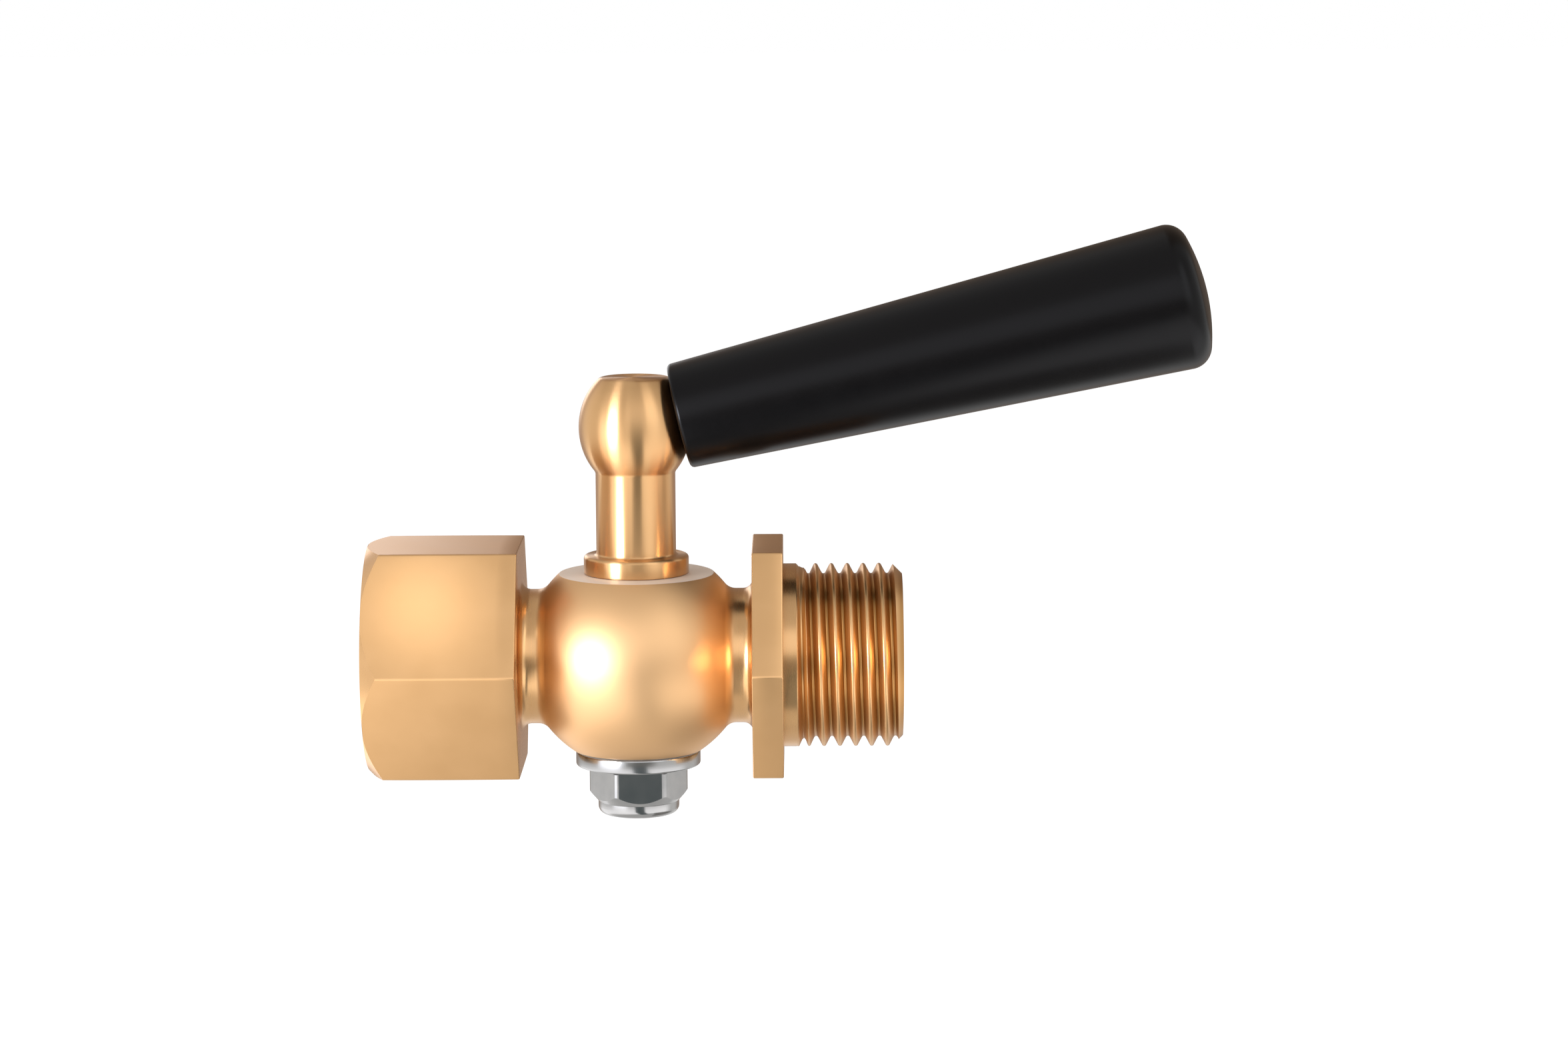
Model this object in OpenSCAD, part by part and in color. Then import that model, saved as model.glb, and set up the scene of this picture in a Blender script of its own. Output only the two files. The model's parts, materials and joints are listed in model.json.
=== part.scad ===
// Pressure gauge valve, plug type, in millimetres.
// Origin: the centre of the flange's outer face, where the male spigot leaves it.
// +X points out of the spigot along the flow, +Z up along the plug, the valve is open.
// Distances along X are given from the plug axis.
// Pipe and machine threads are plain cylinders at the size each mount or fit is stated at.

/* [Hexagons] */
// Across the flats of both hexagons
hex_af = 26; // [25:0.1:30]
// Plug axis to the socket's end face
socket_face = 30.6; // [30:0.2:36]
// Length of the socket hexagon
hex_len = 17.4; // [16.6:0.1:17.6]
// 45 degree chamfer at the socket's end face
hex_chamfer = 2; // [0.6:0.1:2.4]
// Plug axis to the flange's inner face
flange_face = 13.25; // [13.2:0.05:14.5]
// Thickness of the flange
flange_t = 3.5; // [2.5:0.1:6]

/* [Pipe thread G 1/2] */
// Major diameter
thread_major = 20.955; // [20.671:0.001:20.955]
// Minor diameter
thread_minor = 18.631; // [18.631:0.001:19.172]
// Length of the male spigot
spigot_len = 13.6; // [12:0.1:20]
// 45 degree chamfer at the spigot's end
spigot_chamfer = 1.2; // [0.8:0.1:1.6]
// Depth of the tapped socket
socket_depth = 15.5; // [12:0.5:16]
// Diameter of the countersink at the socket's mouth
socket_mouth = 21.6; // [21:0.1:22.5]

/* [Ball and necks] */
// Diameter of the ball
ball_d = 26.1; // [25.6:0.1:26.6]
// Height of the machined flat on top of the ball
top_flat = 9.6; // [9.2:0.1:10]
// Depth of the machined flat under the ball
bottom_flat = 10.75; // [10.4:0.05:11]
// Diameter of both necks
neck_d = 15.4; // [14.6:0.1:15.8]
// Fillet between neck and ball
ball_fillet = 1.6; // [1:0.1:2]
// Fillet between neck and hexagon
hex_fillet = 1.1; // [0.6:0.1:1.2]

/* [Flow passage] */
// Passage through the body
passage_d = 7; // [5:0.5:7.5]
// Cross port through the plug
port_d = 6; // [4:0.5:6]

/* [Plug] */
// Plug diameter at the flow axis
plug_d = 10; // [9.6:0.1:10.4]
// Taper on the diameter, one in this many
plug_taper = 7; // [6:0.5:10]
// Radial running clearance on the taper
taper_gap = 0.05; // [0.02:0.01:0.08]
// Axial clearance under the collar and over the washer
face_gap = 0.05; // [0.03:0.01:0.1]
// Diameter of the collar
collar_d = 12; // [11.8:0.1:14]
// Height of the collar
collar_h = 2.1; // [1.5:0.05:3]
// Rounding of the collar's upper rim
collar_rim = 0.4; // [0.2:0.05:0.6]
// Diameter of the stem
stem_d = 9.1; // [8:0.1:10]
// Width of the ball head
head_w = 12.8; // [12:0.1:14]
// Height of the ball head before its top is cut flat
head_h = 14.5; // [13.5:0.1:16]
// Height of the head's centre
head_z = 26.4; // [25:0.1:30]
// Head centre to its flat top
head_top = 5.7; // [5.2:0.1:6]
// Rounding of the head's upper rim
head_rim = 0.8; // [0.3:0.1:1.2]
// Across the square under the taper
square_w = 6.1; // [6.1:0.1:6.4]
// Diameter of the threaded tail, M6
tail_d = 6; // [6:0.5:6]

/* [Handle] */
// Angle of the grip above the flow axis
tilt = 13.2; // [0:0.1:30]
// Head centre to the grip's small end
grip_start = 5.15; // [4.6:0.05:5.4]
// Length of the grip
grip_len = 61.5; // [50:0.1:80]
// Diameter of the cone at the small end
grip_small = 12.1; // [11:0.02:14]
// Diameter of the cone at the large end
grip_large = 16.88; // [15:0.02:20]
// Rounding of the small end
small_round = 0.5; // [0.5:0.1:1.5]
// Rounding of the large end
large_round = 2.5; // [1:0.1:3]
// Radius of the large end's dome
dome_r = 23; // [20:1:60]
// Diameter of the stud, M6
stud_d = 6; // [5:0.5:6]
// Length of the stud in the head
stud_in_head = 7.5; // [5:0.5:8]
// Diameter of the stud's anchor in the grip
anchor_d = 7.5; // [7:0.5:8]
// Length of the anchor
anchor_len = 14; // [10:1:25]
// Width of the groove that locks the anchor
groove_w = 3; // [2:0.5:4]

/* [Washer and nut] */
// Diameter of the washer
washer_d = 14.3; // [12:0.1:15]
// Thickness of the washer
washer_t = 1.75; // [1:0.05:2.5]
// Clearance between the square and its hole, each side
square_gap = 0.06; // [0.04:0.01:0.1]
// Across the flats of the nut
nut_af = 10; // [10:0.1:10.4]
// Height of the nut
nut_h = 5.7; // [5.2:0.1:6.5]
// Height at which the nut's hexagon has run out into the collar
nut_shoulder = 4.4; // [4:0.1:4.6]
// Diameter of the nut's collar
nut_collar_d = 9.3; // [9:0.1:9.6]
// Turn of the nut
nut_turn = 3.4; // [0:0.1:60]
// Height of the nylon ring
ring_h = 1.6; // [1.2:0.1:1.8]
// Diameter of the nylon ring
ring_d = 8; // [7.4:0.1:8.2]
// Overlap of the crimped rim over the nylon ring
rim_t = 0.5; // [0.4:0.1:0.8]
// Clearance of the plain cylinders that stand for machine threads
thread_gap = 0.05; // [0.03:0.01:0.1]

/* [Hidden] */
eps = 0.01;
overlap = 1;
round_steps = 10;
body_fn = 96;
small_fn = 64;
brass = [0.82, 0.64, 0.42];
steel = [0.74, 0.75, 0.76];
phenolic = [0.13, 0.12, 0.12];
nylon = [0.9, 0.9, 0.86];
tail_short = 0.4;
plug_short = 0.5;
hex_r = hex_af / sqrt(3);
ball_r = ball_d / 2;
neck_r = neck_d / 2;
hex_inner = socket_face - hex_len;
seat_x = flange_face + flange_t;
spigot_end = seat_x + spigot_len;
taper_slope = 0.5 / plug_taper;
plug_bottom = -bottom_flat + plug_short;
collar_z = top_flat + face_gap;
washer_z = -bottom_flat - face_gap - washer_t;
tail_end = washer_z - nut_h + tail_short;
head_drop = head_h / 2 * sqrt(1 - pow(stem_d / head_w, 2));
grip_slope = (grip_large - grip_small) / 2 / grip_len;
stud_clear = 0.5;
square_clear = 0.2;
groove_depth = 1;
washer_bevel = 0.25;
nut_round = 0.9;
nut_cone = 1.9;
nut_top = 0.5;

// Points of an arc from angle a0 to a1, as [radial, axial] pairs
function arc(c, r, a0, a1, n = round_steps) =
    [for (i = [0:n]) c + r * [cos(a0 + (a1 - a0) * i / n), sin(a0 + (a1 - a0) * i / n)]];

// Radius of the plug's taper at a height
function taper_r(z) = plug_d / 2 + z * taper_slope;

// Radius of the grip's cone at a distance from the small end
function grip_r(s) = grip_small / 2 + s * grip_slope;

// Angle on an ellipse a by b where an arc of radius r inside it is level with a flat top, by halving
function rim_angle(a, b, r, top, low, high, n = 24) =
    let (m = (low + high) / 2, k = norm([b * cos(m), a * sin(m)]))
        n == 0 ? m
        : b * sin(m) + r * (1 - a * sin(m) / k) > top ? rim_angle(a, b, r, top, low, m, n - 1)
        : rim_angle(a, b, r, top, m, high, n - 1);

// Carries a shape from the crossing of the axes to the part's frame
module from_crossing() {
    translate([-seat_x, 0, 0])
        children();
}

// Puts a shape drawn along +Z on the handle's axis
module on_handle() {
    translate([0, 0, head_z])
        rotate([0, 90 - tilt, 0])
            children();
}

// Puts a shape drawn along +Z on the flow axis, a point of each hexagon to the front
module on_flow() {
    rotate([0, 90, 0])
        rotate([0, 0, 90])
            children();
}

// Hexagonal prism with two flats level, from x0 to x1 on the flow axis
module flow_hex(x0, x1) {
    translate([x0, 0, 0])
        on_flow()
            cylinder(r = hex_r, h = x1 - x0, $fn = 6);
}

// Neck from inside the ball to a hexagon at distance x1, with both fillets
module neck(x1) {
    fillet_x = sqrt(pow(ball_r + ball_fillet, 2) - pow(neck_r + ball_fillet, 2));
    reach = asin((neck_r + ball_fillet) / (ball_r + ball_fillet));
    inner = ball_r - overlap;
    profile = concat(
        [[0, inner * cos(reach)]],
        [[inner * sin(reach), inner * cos(reach)]],
        arc([neck_r + ball_fillet, fillet_x], ball_fillet, 270 - reach, 180),
        arc([neck_r + hex_fillet, x1 - hex_fillet], hex_fillet, 180, 90),
        [[neck_r + hex_fillet, x1 + overlap]],
        [[0, x1 + overlap]]
    );
    rotate([0, 90, 0])
        rotate_extrude($fn = body_fn)
            polygon(profile);
}

// Ball with its two machined flats
module ball() {
    intersection() {
        sphere(r = ball_r, $fn = body_fn);
        translate([-ball_r - overlap, -ball_r - overlap, -bottom_flat])
            cube([ball_d + 2 * overlap, ball_d + 2 * overlap, bottom_flat + top_flat]);
    }
}

// Female hexagon, its corners turned off at the end face
module socket_hex() {
    chamfer_r = hex_r + overlap;
    face_r = hex_r - hex_chamfer;
    intersection() {
        flow_hex(-socket_face, -hex_inner);
        translate([-socket_face, 0, 0])
            on_flow()
                union() {
                    cylinder(r1 = face_r, r2 = chamfer_r, h = chamfer_r - face_r, $fn = body_fn);
                    translate([0, 0, chamfer_r - face_r])
                        cylinder(r = chamfer_r, h = hex_len, $fn = body_fn);
                }
    }
}

// Male spigot at the thread's major diameter
module spigot() {
    translate([seat_x - overlap, 0, 0])
        on_flow()
            union() {
                cylinder(r = thread_major / 2, h = spigot_len + overlap - spigot_chamfer, $fn = body_fn);
                translate([0, 0, spigot_len + overlap - spigot_chamfer])
                    cylinder(
                        r1 = thread_major / 2,
                        r2 = thread_major / 2 - spigot_chamfer,
                        h = spigot_chamfer,
                        $fn = body_fn
                    );
            }
}

// Tapped socket, countersunk mouth and straight passage, as one hole
module flow_hole() {
    mouth_depth = (socket_mouth - thread_minor) / 2;
    translate([-socket_face, 0, 0])
        on_flow()
            union() {
                cylinder(r = thread_minor / 2, h = socket_depth, $fn = body_fn);
                translate([0, 0, -eps])
                    cylinder(
                        r1 = socket_mouth / 2 + eps,
                        r2 = thread_minor / 2,
                        h = mouth_depth + eps,
                        $fn = body_fn
                    );
                cylinder(r = passage_d / 2, h = socket_face + spigot_end + overlap, $fn = small_fn);
            }
}

// Cone along the plug axis between two heights, radially larger than the plug by gap
module taper(z0, z1, gap) {
    translate([0, 0, z0])
        cylinder(r1 = taper_r(z0) + gap, r2 = taper_r(z1) + gap, h = z1 - z0, $fn = body_fn);
}

module valve_body() {
    color(brass)
        from_crossing()
            difference() {
                union() {
                    ball();
                    neck(flange_face);
                    mirror([1, 0, 0])
                        neck(hex_inner);
                    socket_hex();
                    flow_hex(flange_face, seat_x);
                    spigot();
                }
                flow_hole();
                taper(-bottom_flat - overlap, top_flat + overlap, taper_gap);
            }
}

// Ball head on its stem, the top cut flat and its rim rounded
module head() {
    a = head_w / 2;
    b = head_h / 2;
    low = -asin(head_drop / b);
    high = rim_angle(a, b, head_rim, head_top, 0, 90);
    lean = atan2(a * sin(high), b * cos(high));
    rim_c = [a * cos(high) - head_rim * cos(lean), b * sin(high) - head_rim * sin(lean)];
    steps = 4 * round_steps;
    profile = concat(
        [[0, -head_drop - overlap], [stem_d / 2 - overlap, -head_drop - overlap]],
        [for (i = [0:steps - 1]) let (t = low + (high - low) * i / steps) [a * cos(t), b * sin(t)]],
        arc(rim_c, head_rim, lean, 90, 8),
        [[0, head_top]]
    );
    translate([0, 0, head_z])
        rotate_extrude($fn = body_fn)
            polygon(profile);
}

// Collar with a rounded upper rim
module collar() {
    profile = concat(
        [[0, 0], [collar_d / 2, 0]],
        arc([collar_d / 2 - collar_rim, collar_h - collar_rim], collar_rim, 0, 90, 6),
        [[0, collar_h]]
    );
    translate([0, 0, collar_z])
        rotate_extrude($fn = body_fn)
            polygon(profile);
}

// Square under the taper, its corners turned to less than the taper
module square_drive() {
    square_h = plug_bottom - washer_z;
    intersection() {
        translate([-square_w / 2, -square_w / 2, washer_z + square_clear])
            cube([square_w, square_w, square_h]);
        translate([0, 0, washer_z])
            cylinder(r = taper_r(plug_bottom) - square_clear, h = square_h + overlap, $fn = small_fn);
    }
}

module plug() {
    color(brass)
        from_crossing()
            difference() {
                union() {
                    taper(plug_bottom, collar_z + eps, 0);
                    collar();
                    translate([0, 0, collar_z])
                        cylinder(r = stem_d / 2, h = head_z - head_drop - collar_z, $fn = body_fn);
                    head();
                    square_drive();
                    translate([0, 0, tail_end])
                        cylinder(r = tail_d / 2, h = plug_bottom - tail_end, $fn = small_fn);
                }
                on_flow()
                    translate([0, 0, -collar_d])
                        cylinder(r = port_d / 2, h = 2 * collar_d, $fn = small_fn);
                on_handle()
                    translate([0, 0, grip_start])
                        cylinder(r = head_w, h = head_w, $fn = small_fn);
                on_handle()
                    translate([0, 0, grip_start - stud_in_head - stud_clear])
                        cylinder(r = stud_d / 2 + thread_gap, h = stud_in_head + head_w, $fn = small_fn);
            }
}

// The stud's anchor, larger by gap and starting below zero by under
module anchor(gap, under) {
    side = (anchor_len - groove_w) / 2;
    groove_r = anchor_d / 2 - groove_depth;
    profile = [
        [0, -under],
        [anchor_d / 2 + gap, -under],
        [anchor_d / 2 + gap, side + gap],
        [groove_r + gap, side + gap],
        [groove_r + gap, side + groove_w - gap],
        [anchor_d / 2 + gap, side + groove_w - gap],
        [anchor_d / 2 + gap, anchor_len],
        [0, anchor_len]
    ];
    rotate_extrude($fn = small_fn)
        polygon(profile);
}

module handle_stud() {
    color(steel)
        from_crossing()
            on_handle()
                translate([0, 0, grip_start])
                    union() {
                        anchor(0, 0);
                        translate([0, 0, -stud_in_head])
                            cylinder(r = stud_d / 2, h = stud_in_head + overlap, $fn = small_fn);
                    }
}

module handle_grip() {
    dome_c = grip_len - dome_r;
    rim_r = grip_r(grip_len) - large_round * (1 + grip_slope);
    rim_s = dome_c + sqrt(pow(dome_r - large_round, 2) - pow(rim_r, 2));
    dome_a = acos(rim_r / (dome_r - large_round));
    cone_a = -atan(grip_slope);
    small_c = [grip_r(0) - small_round, small_round];
    profile = concat(
        [[0, 0]],
        arc(small_c, small_round, -90, cone_a, 8),
        arc([rim_r, rim_s], large_round, cone_a, dome_a, 12),
        [for (i = [1:round_steps]) let (t = dome_a + (90 - dome_a) * i / round_steps)
            [dome_r * cos(t), dome_c + dome_r * sin(t)]]
    );
    color(phenolic)
        from_crossing()
            on_handle()
                translate([0, 0, grip_start])
                    difference() {
                        rotate_extrude($fn = body_fn)
                            polygon(profile);
                        anchor(thread_gap, overlap);
                    }
}

module thrust_washer() {
    hole = square_w + 2 * square_gap;
    profile = [
        [0, 0],
        [washer_d / 2 - washer_bevel, 0],
        [washer_d / 2, washer_bevel],
        [washer_d / 2, washer_t],
        [0, washer_t]
    ];
    color(steel)
        from_crossing()
            difference() {
                translate([0, 0, washer_z])
                    rotate_extrude($fn = body_fn)
                        polygon(profile);
                translate([-hole / 2, -hole / 2, washer_z - overlap])
                    cube([hole, hole, washer_t + 2 * overlap]);
            }
}

// Body of revolution that the nut's hexagon is cut with
module nut_turned() {
    corner_r = nut_af / sqrt(3);
    profile = concat(
        [[0, 0], [nut_collar_d / 2 - nut_round, 0]],
        arc([nut_collar_d / 2 - nut_round, nut_round], nut_round, -90, 0, 6),
        [
            [nut_collar_d / 2, nut_h - nut_shoulder],
            [corner_r + eps, nut_h - nut_shoulder + nut_cone],
            [corner_r + eps, nut_h - nut_top],
            [nut_af / 2, nut_h],
            [0, nut_h]
        ]
    );
    rotate_extrude($fn = small_fn)
        polygon(profile);
}

module lock_nut() {
    corner_r = nut_af / sqrt(3);
    color(steel)
        from_crossing()
            translate([0, 0, washer_z - nut_h])
                difference() {
                    intersection() {
                        nut_turned();
                        rotate([0, 0, nut_turn])
                            cylinder(r = corner_r, h = nut_h, $fn = 6);
                    }
                    translate([0, 0, -overlap])
                        cylinder(r = tail_d / 2 + thread_gap, h = nut_h + 2 * overlap, $fn = small_fn);
                    translate([0, 0, rim_t])
                        cylinder(r = ring_d / 2, h = ring_h, $fn = small_fn);
                }
}

module nut_insert() {
    color(nylon)
        from_crossing()
            translate([0, 0, washer_z - nut_h + rim_t])
                difference() {
                    cylinder(r = ring_d / 2, h = ring_h, $fn = small_fn);
                    translate([0, 0, -overlap])
                        cylinder(r = tail_d / 2 + thread_gap, h = ring_h + 2 * overlap, $fn = small_fn);
                }
}

valve_body();
plug();
handle_stud();
handle_grip();
thrust_washer();
lock_nut();
nut_insert();
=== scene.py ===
"""Looks of the pressure gauge valve: fine meshes, finishes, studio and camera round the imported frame.

Lengths are millimetres and angles degrees unless a name says otherwise. Distances along X are
given from the plug axis. Points become metres in the part's own frame when a mesh is written.
"""

import json
import logging
import math
from dataclasses import dataclass
from enum import Enum
from typing import Any, Callable, Sequence

import bpy
import numpy as np
from mathutils import Matrix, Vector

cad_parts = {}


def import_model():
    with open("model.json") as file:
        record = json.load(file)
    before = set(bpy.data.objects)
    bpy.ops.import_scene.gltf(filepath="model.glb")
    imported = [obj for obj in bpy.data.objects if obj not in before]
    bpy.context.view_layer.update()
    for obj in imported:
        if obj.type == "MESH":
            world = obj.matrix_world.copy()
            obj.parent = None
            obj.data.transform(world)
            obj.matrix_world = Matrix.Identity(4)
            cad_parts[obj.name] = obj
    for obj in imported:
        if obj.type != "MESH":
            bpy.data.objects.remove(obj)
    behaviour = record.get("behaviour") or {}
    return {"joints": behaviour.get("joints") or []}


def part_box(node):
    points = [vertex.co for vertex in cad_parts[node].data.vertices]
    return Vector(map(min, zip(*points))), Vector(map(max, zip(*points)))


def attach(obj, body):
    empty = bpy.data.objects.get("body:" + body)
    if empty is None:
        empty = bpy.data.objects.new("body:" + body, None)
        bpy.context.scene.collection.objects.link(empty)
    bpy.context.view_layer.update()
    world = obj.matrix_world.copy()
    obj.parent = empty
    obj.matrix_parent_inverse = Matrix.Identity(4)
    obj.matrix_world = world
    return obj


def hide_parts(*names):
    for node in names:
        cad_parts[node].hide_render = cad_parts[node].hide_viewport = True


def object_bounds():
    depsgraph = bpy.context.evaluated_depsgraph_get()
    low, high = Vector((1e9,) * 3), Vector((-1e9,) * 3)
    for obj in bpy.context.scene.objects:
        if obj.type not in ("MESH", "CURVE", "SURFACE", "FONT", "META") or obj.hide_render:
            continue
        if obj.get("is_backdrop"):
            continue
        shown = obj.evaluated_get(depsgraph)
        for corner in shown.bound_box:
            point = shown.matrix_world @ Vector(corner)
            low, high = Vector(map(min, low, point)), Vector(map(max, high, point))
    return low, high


Array = np.ndarray
Triple = tuple[float, float, float]
Span = tuple[float, float]

LOG = logging.getLogger("gauge_valve")
MM = 0.001
MM_PER_M = 1000.0
TURN = 2 * math.pi
SMOOTH_BELOW = math.radians(24)
# Columns round large turned shapes, wide bores, small holes and screws, and how finely a screw's
# crest, flank and root are stepped.
ROUND_COLS = 144
BORE_COLS = 96
SMALL_COLS = 72
SCREW_COLS = 64
SCREW_STEPS = (1, 1, 1)


class Join(Enum):
    """How a solid is combined with a second one."""

    ADD = "UNION"
    CUT = "DIFFERENCE"
    KEEP = "INTERSECT"


class Lay(Enum):
    """The way the fine marks of a metal surface run."""

    TURNED_ON_FLOW = "rings round the flow axis"
    TURNED_ON_PLUG = "rings round the plug axis"
    DRAWN = "streaks along the flow axis"


@dataclass(frozen=True)
class Axis:
    """A line that shapes are turned on: a point of it, its direction and a direction across it."""

    origin: Triple
    along: Triple
    side: Triple

    def place(self, along: Array, radius: Array, angle: Array) -> Array:
        """Gives points in polar form round this line.

        Formula: origin + along * a + side * r cos(angle) + (a x side) * r sin(angle).

        Args:
            along: Distance of each point along the line.
            radius: Distance of each point from the line.
            angle: Angle of each point from the side direction, in radians.

        Returns:
            An array of points with one more dimension than the inputs.
        """
        along, radius, angle = np.broadcast_arrays(along, radius, angle)
        a, u = np.array(self.along), np.array(self.side)
        v = np.cross(a, u)
        across = radius[..., None] * (np.cos(angle)[..., None] * u + np.sin(angle)[..., None] * v)
        return np.array(self.origin) + along[..., None] * a + across


FLOW = Axis((0.0, 0.0, 0.0), (1.0, 0.0, 0.0), (0.0, 1.0, 0.0))
PLUG = Axis((0.0, 0.0, 0.0), (0.0, 0.0, 1.0), (1.0, 0.0, 0.0))


@dataclass
class Shape:
    """A closed surface as points, four-sided faces and three-sided faces, facing outwards."""

    points: Array
    quads: Array
    tris: Array

    def to_object(self, name: str, shift: float) -> bpy.types.Object:
        """Writes the surface into a mesh object, in metres and in the part's frame.

        Args:
            name: Name of the new object.
            shift: Distance from the frame's origin back to the plug axis.

        Returns:
            The new object, linked to the scene.
        """
        mesh = bpy.data.meshes.new(name)
        points = (self.points - np.array((shift, 0.0, 0.0))) * MM
        corners = np.concatenate([self.quads.ravel(), self.tris.ravel()]).astype(np.int32)
        sizes = np.concatenate([np.full(len(self.quads), 4), np.full(len(self.tris), 3)])
        starts = np.concatenate([[0], np.cumsum(sizes)[:-1]]).astype(np.int32)
        mesh.vertices.add(len(points))
        mesh.vertices.foreach_set("co", points.astype(np.float32).ravel())
        mesh.loops.add(len(corners))
        mesh.loops.foreach_set("vertex_index", corners)
        mesh.polygons.add(len(sizes))
        mesh.polygons.foreach_set("loop_start", starts)
        mesh.update(calc_edges=True)
        made = bpy.data.objects.new(name, mesh)
        bpy.context.scene.collection.objects.link(made)
        return made


def ring_faces(rows: int, cols: int) -> Array:
    """Four-sided faces of a grid that closes on itself across its columns.

    Face (i, j) joins point i * cols + j with its neighbours in the next column and row.

    Args:
        rows: Number of rows of points.
        cols: Number of points in a row.

    Returns:
        Four point numbers for each face.
    """
    i, j = np.meshgrid(np.arange(rows - 1), np.arange(cols), indexing="ij")
    nxt = (j + 1) % cols
    quads = np.stack([i * cols + j, i * cols + nxt, (i + 1) * cols + nxt, (i + 1) * cols + j], -1)
    return quads.reshape(-1, 4)


def fan(loop: Array, pole: int, outward: bool) -> Array:
    """Three-sided faces from each edge of a closed loop of points to one pole.

    Args:
        loop: Point numbers round the loop.
        pole: Point number of the pole.
        outward: True where the loop's own order already faces out of the solid.

    Returns:
        An array of faces.
    """
    nxt = np.roll(loop, -1)
    first, second = (loop, nxt) if outward else (nxt, loop)
    return np.stack([np.full(len(loop), pole), first, second], -1)


def lathe(axis: Axis, along: Array, radius: Array, angle: Array) -> Shape:
    """Closes a polar grid round an axis into a solid with a pole at each end.

    Row i, column j lies at along[i, j] and radius[i, j]. The poles lie on the axis at the mean
    distance of the first and the last row.

    Args:
        axis: The line the grid goes round.
        along: Distances along the line, rows by columns.
        radius: Distances from the line, rows by columns.
        angle: Angle of each column, in radians.

    Returns:
        The closed surface.
    """
    rows, cols = along.shape
    grid = axis.place(along, radius, angle[None, :]).reshape(-1, 3)
    poles = axis.place(np.array([along[0].mean(), along[-1].mean()]), np.zeros(2), np.zeros(2))
    first, last = np.arange(cols), np.arange(cols) + (rows - 1) * cols
    tris = np.concatenate([fan(first, len(grid), False), fan(last, len(grid) + 1, True)])
    return Shape(np.concatenate([grid, poles]), ring_faces(rows, cols), tris)


def revolve(axis: Axis, profile: Array, cols: int) -> Shape:
    """Turns a profile of (radius, along) pairs into a solid; its ends are closed on the axis.

    Args:
        axis: The line it is turned on.
        profile: The outline, one pair a row.
        cols: Number of columns round the line.

    Returns:
        The closed surface.
    """
    angle = np.arange(cols) * TURN / cols
    along = np.repeat(profile[:, 1:2], cols, 1)
    radius = np.repeat(profile[:, 0:1], cols, 1)
    return lathe(axis, along, radius, angle)


def arc(centre: Span, radius: float, start: float, end: float, steps: int) -> Array:
    """Points of a round stretch of a profile.

    Formula: centre + radius * (cos(t), sin(t)) for t from start to end, in degrees.
    """
    t = np.radians(np.linspace(start, end, steps + 1))
    return np.stack([centre[0] + radius * np.cos(t), centre[1] + radius * np.sin(t)], 1)


def polygon_radius(angle: Array, sides: int, flat: Array | float, corner: float, crown: float = 0.0) -> Array:
    """Distance from the axis to the wall of a bar with flats and rounded corners.

    Between corners the wall lies at flat / cos(a), with a the angle from the flat's middle, less a
    crown that grows with the square of the distance from that middle. Near a corner it follows
    an arc of the corner radius, which touches both flats.

    Args:
        angle: Angle of each column from the middle of a flat, in radians.
        sides: Number of flats.
        flat: Distance of the flats from the axis.
        corner: Radius of the corners.
        crown: How much lower the flats lie at the corners than in their middle.

    Returns:
        The radius at each angle.
    """
    half = math.pi / sides
    off = np.mod(angle + half, 2 * half) - half
    low = flat - crown * (np.tan(off) / math.tan(half)) ** 2
    wall = low / np.cos(off)
    centre = (flat - crown - corner) / math.cos(half)
    to_corner = half - np.abs(off)
    inside = np.maximum(corner**2 - (centre * np.sin(to_corner)) ** 2, 0.0)
    rounded = centre * np.cos(to_corner) + np.sqrt(inside)
    reach = np.arctan2(corner * math.sin(half), centre + corner * math.cos(half))
    return np.where(to_corner < reach, rounded, wall)


@dataclass(frozen=True)
class ThreadForm:
    """A symmetrical thread: its pitch, its largest and smallest radius and the angle of a flank."""

    pitch: float
    major: float
    minor: float
    flank: float
    rounding: float

    def outline(self, crest_steps: int, flank_steps: int, root_steps: int) -> tuple[Array, Array]:
        """One pitch of the thread from crest to crest.

        The crest and the root are arcs of the rounding radius, the flank is the straight line
        that touches both. Height is (radius - minor) / (major - minor), phase is the distance
        along the axis divided by the pitch.

        Args:
            crest_steps: Steps of half a crest.
            flank_steps: Steps of a flank.
            root_steps: Steps of half a root.

        Returns:
            Phases from 0 up to, but without, 1, and the height at each.
        """
        touch = 90 - self.flank
        crest = arc((0.0, self.major - self.rounding), self.rounding, 90, 90 - touch, crest_steps)
        root = arc((self.pitch / 2, self.minor + self.rounding), self.rounding, 270 - touch, 270, root_steps)
        blend = np.linspace(0, 1, flank_steps + 1)[1:-1, None]
        flank = crest[-1] * (1 - blend) + root[0] * blend
        half = np.concatenate([crest, flank, root])
        back = half[-2:0:-1] * (-1, 1) + (self.pitch, 0)
        points = np.concatenate([half, back])
        return points[:, 0] / self.pitch, (points[:, 1] - self.minor) / (self.major - self.minor)


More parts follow.
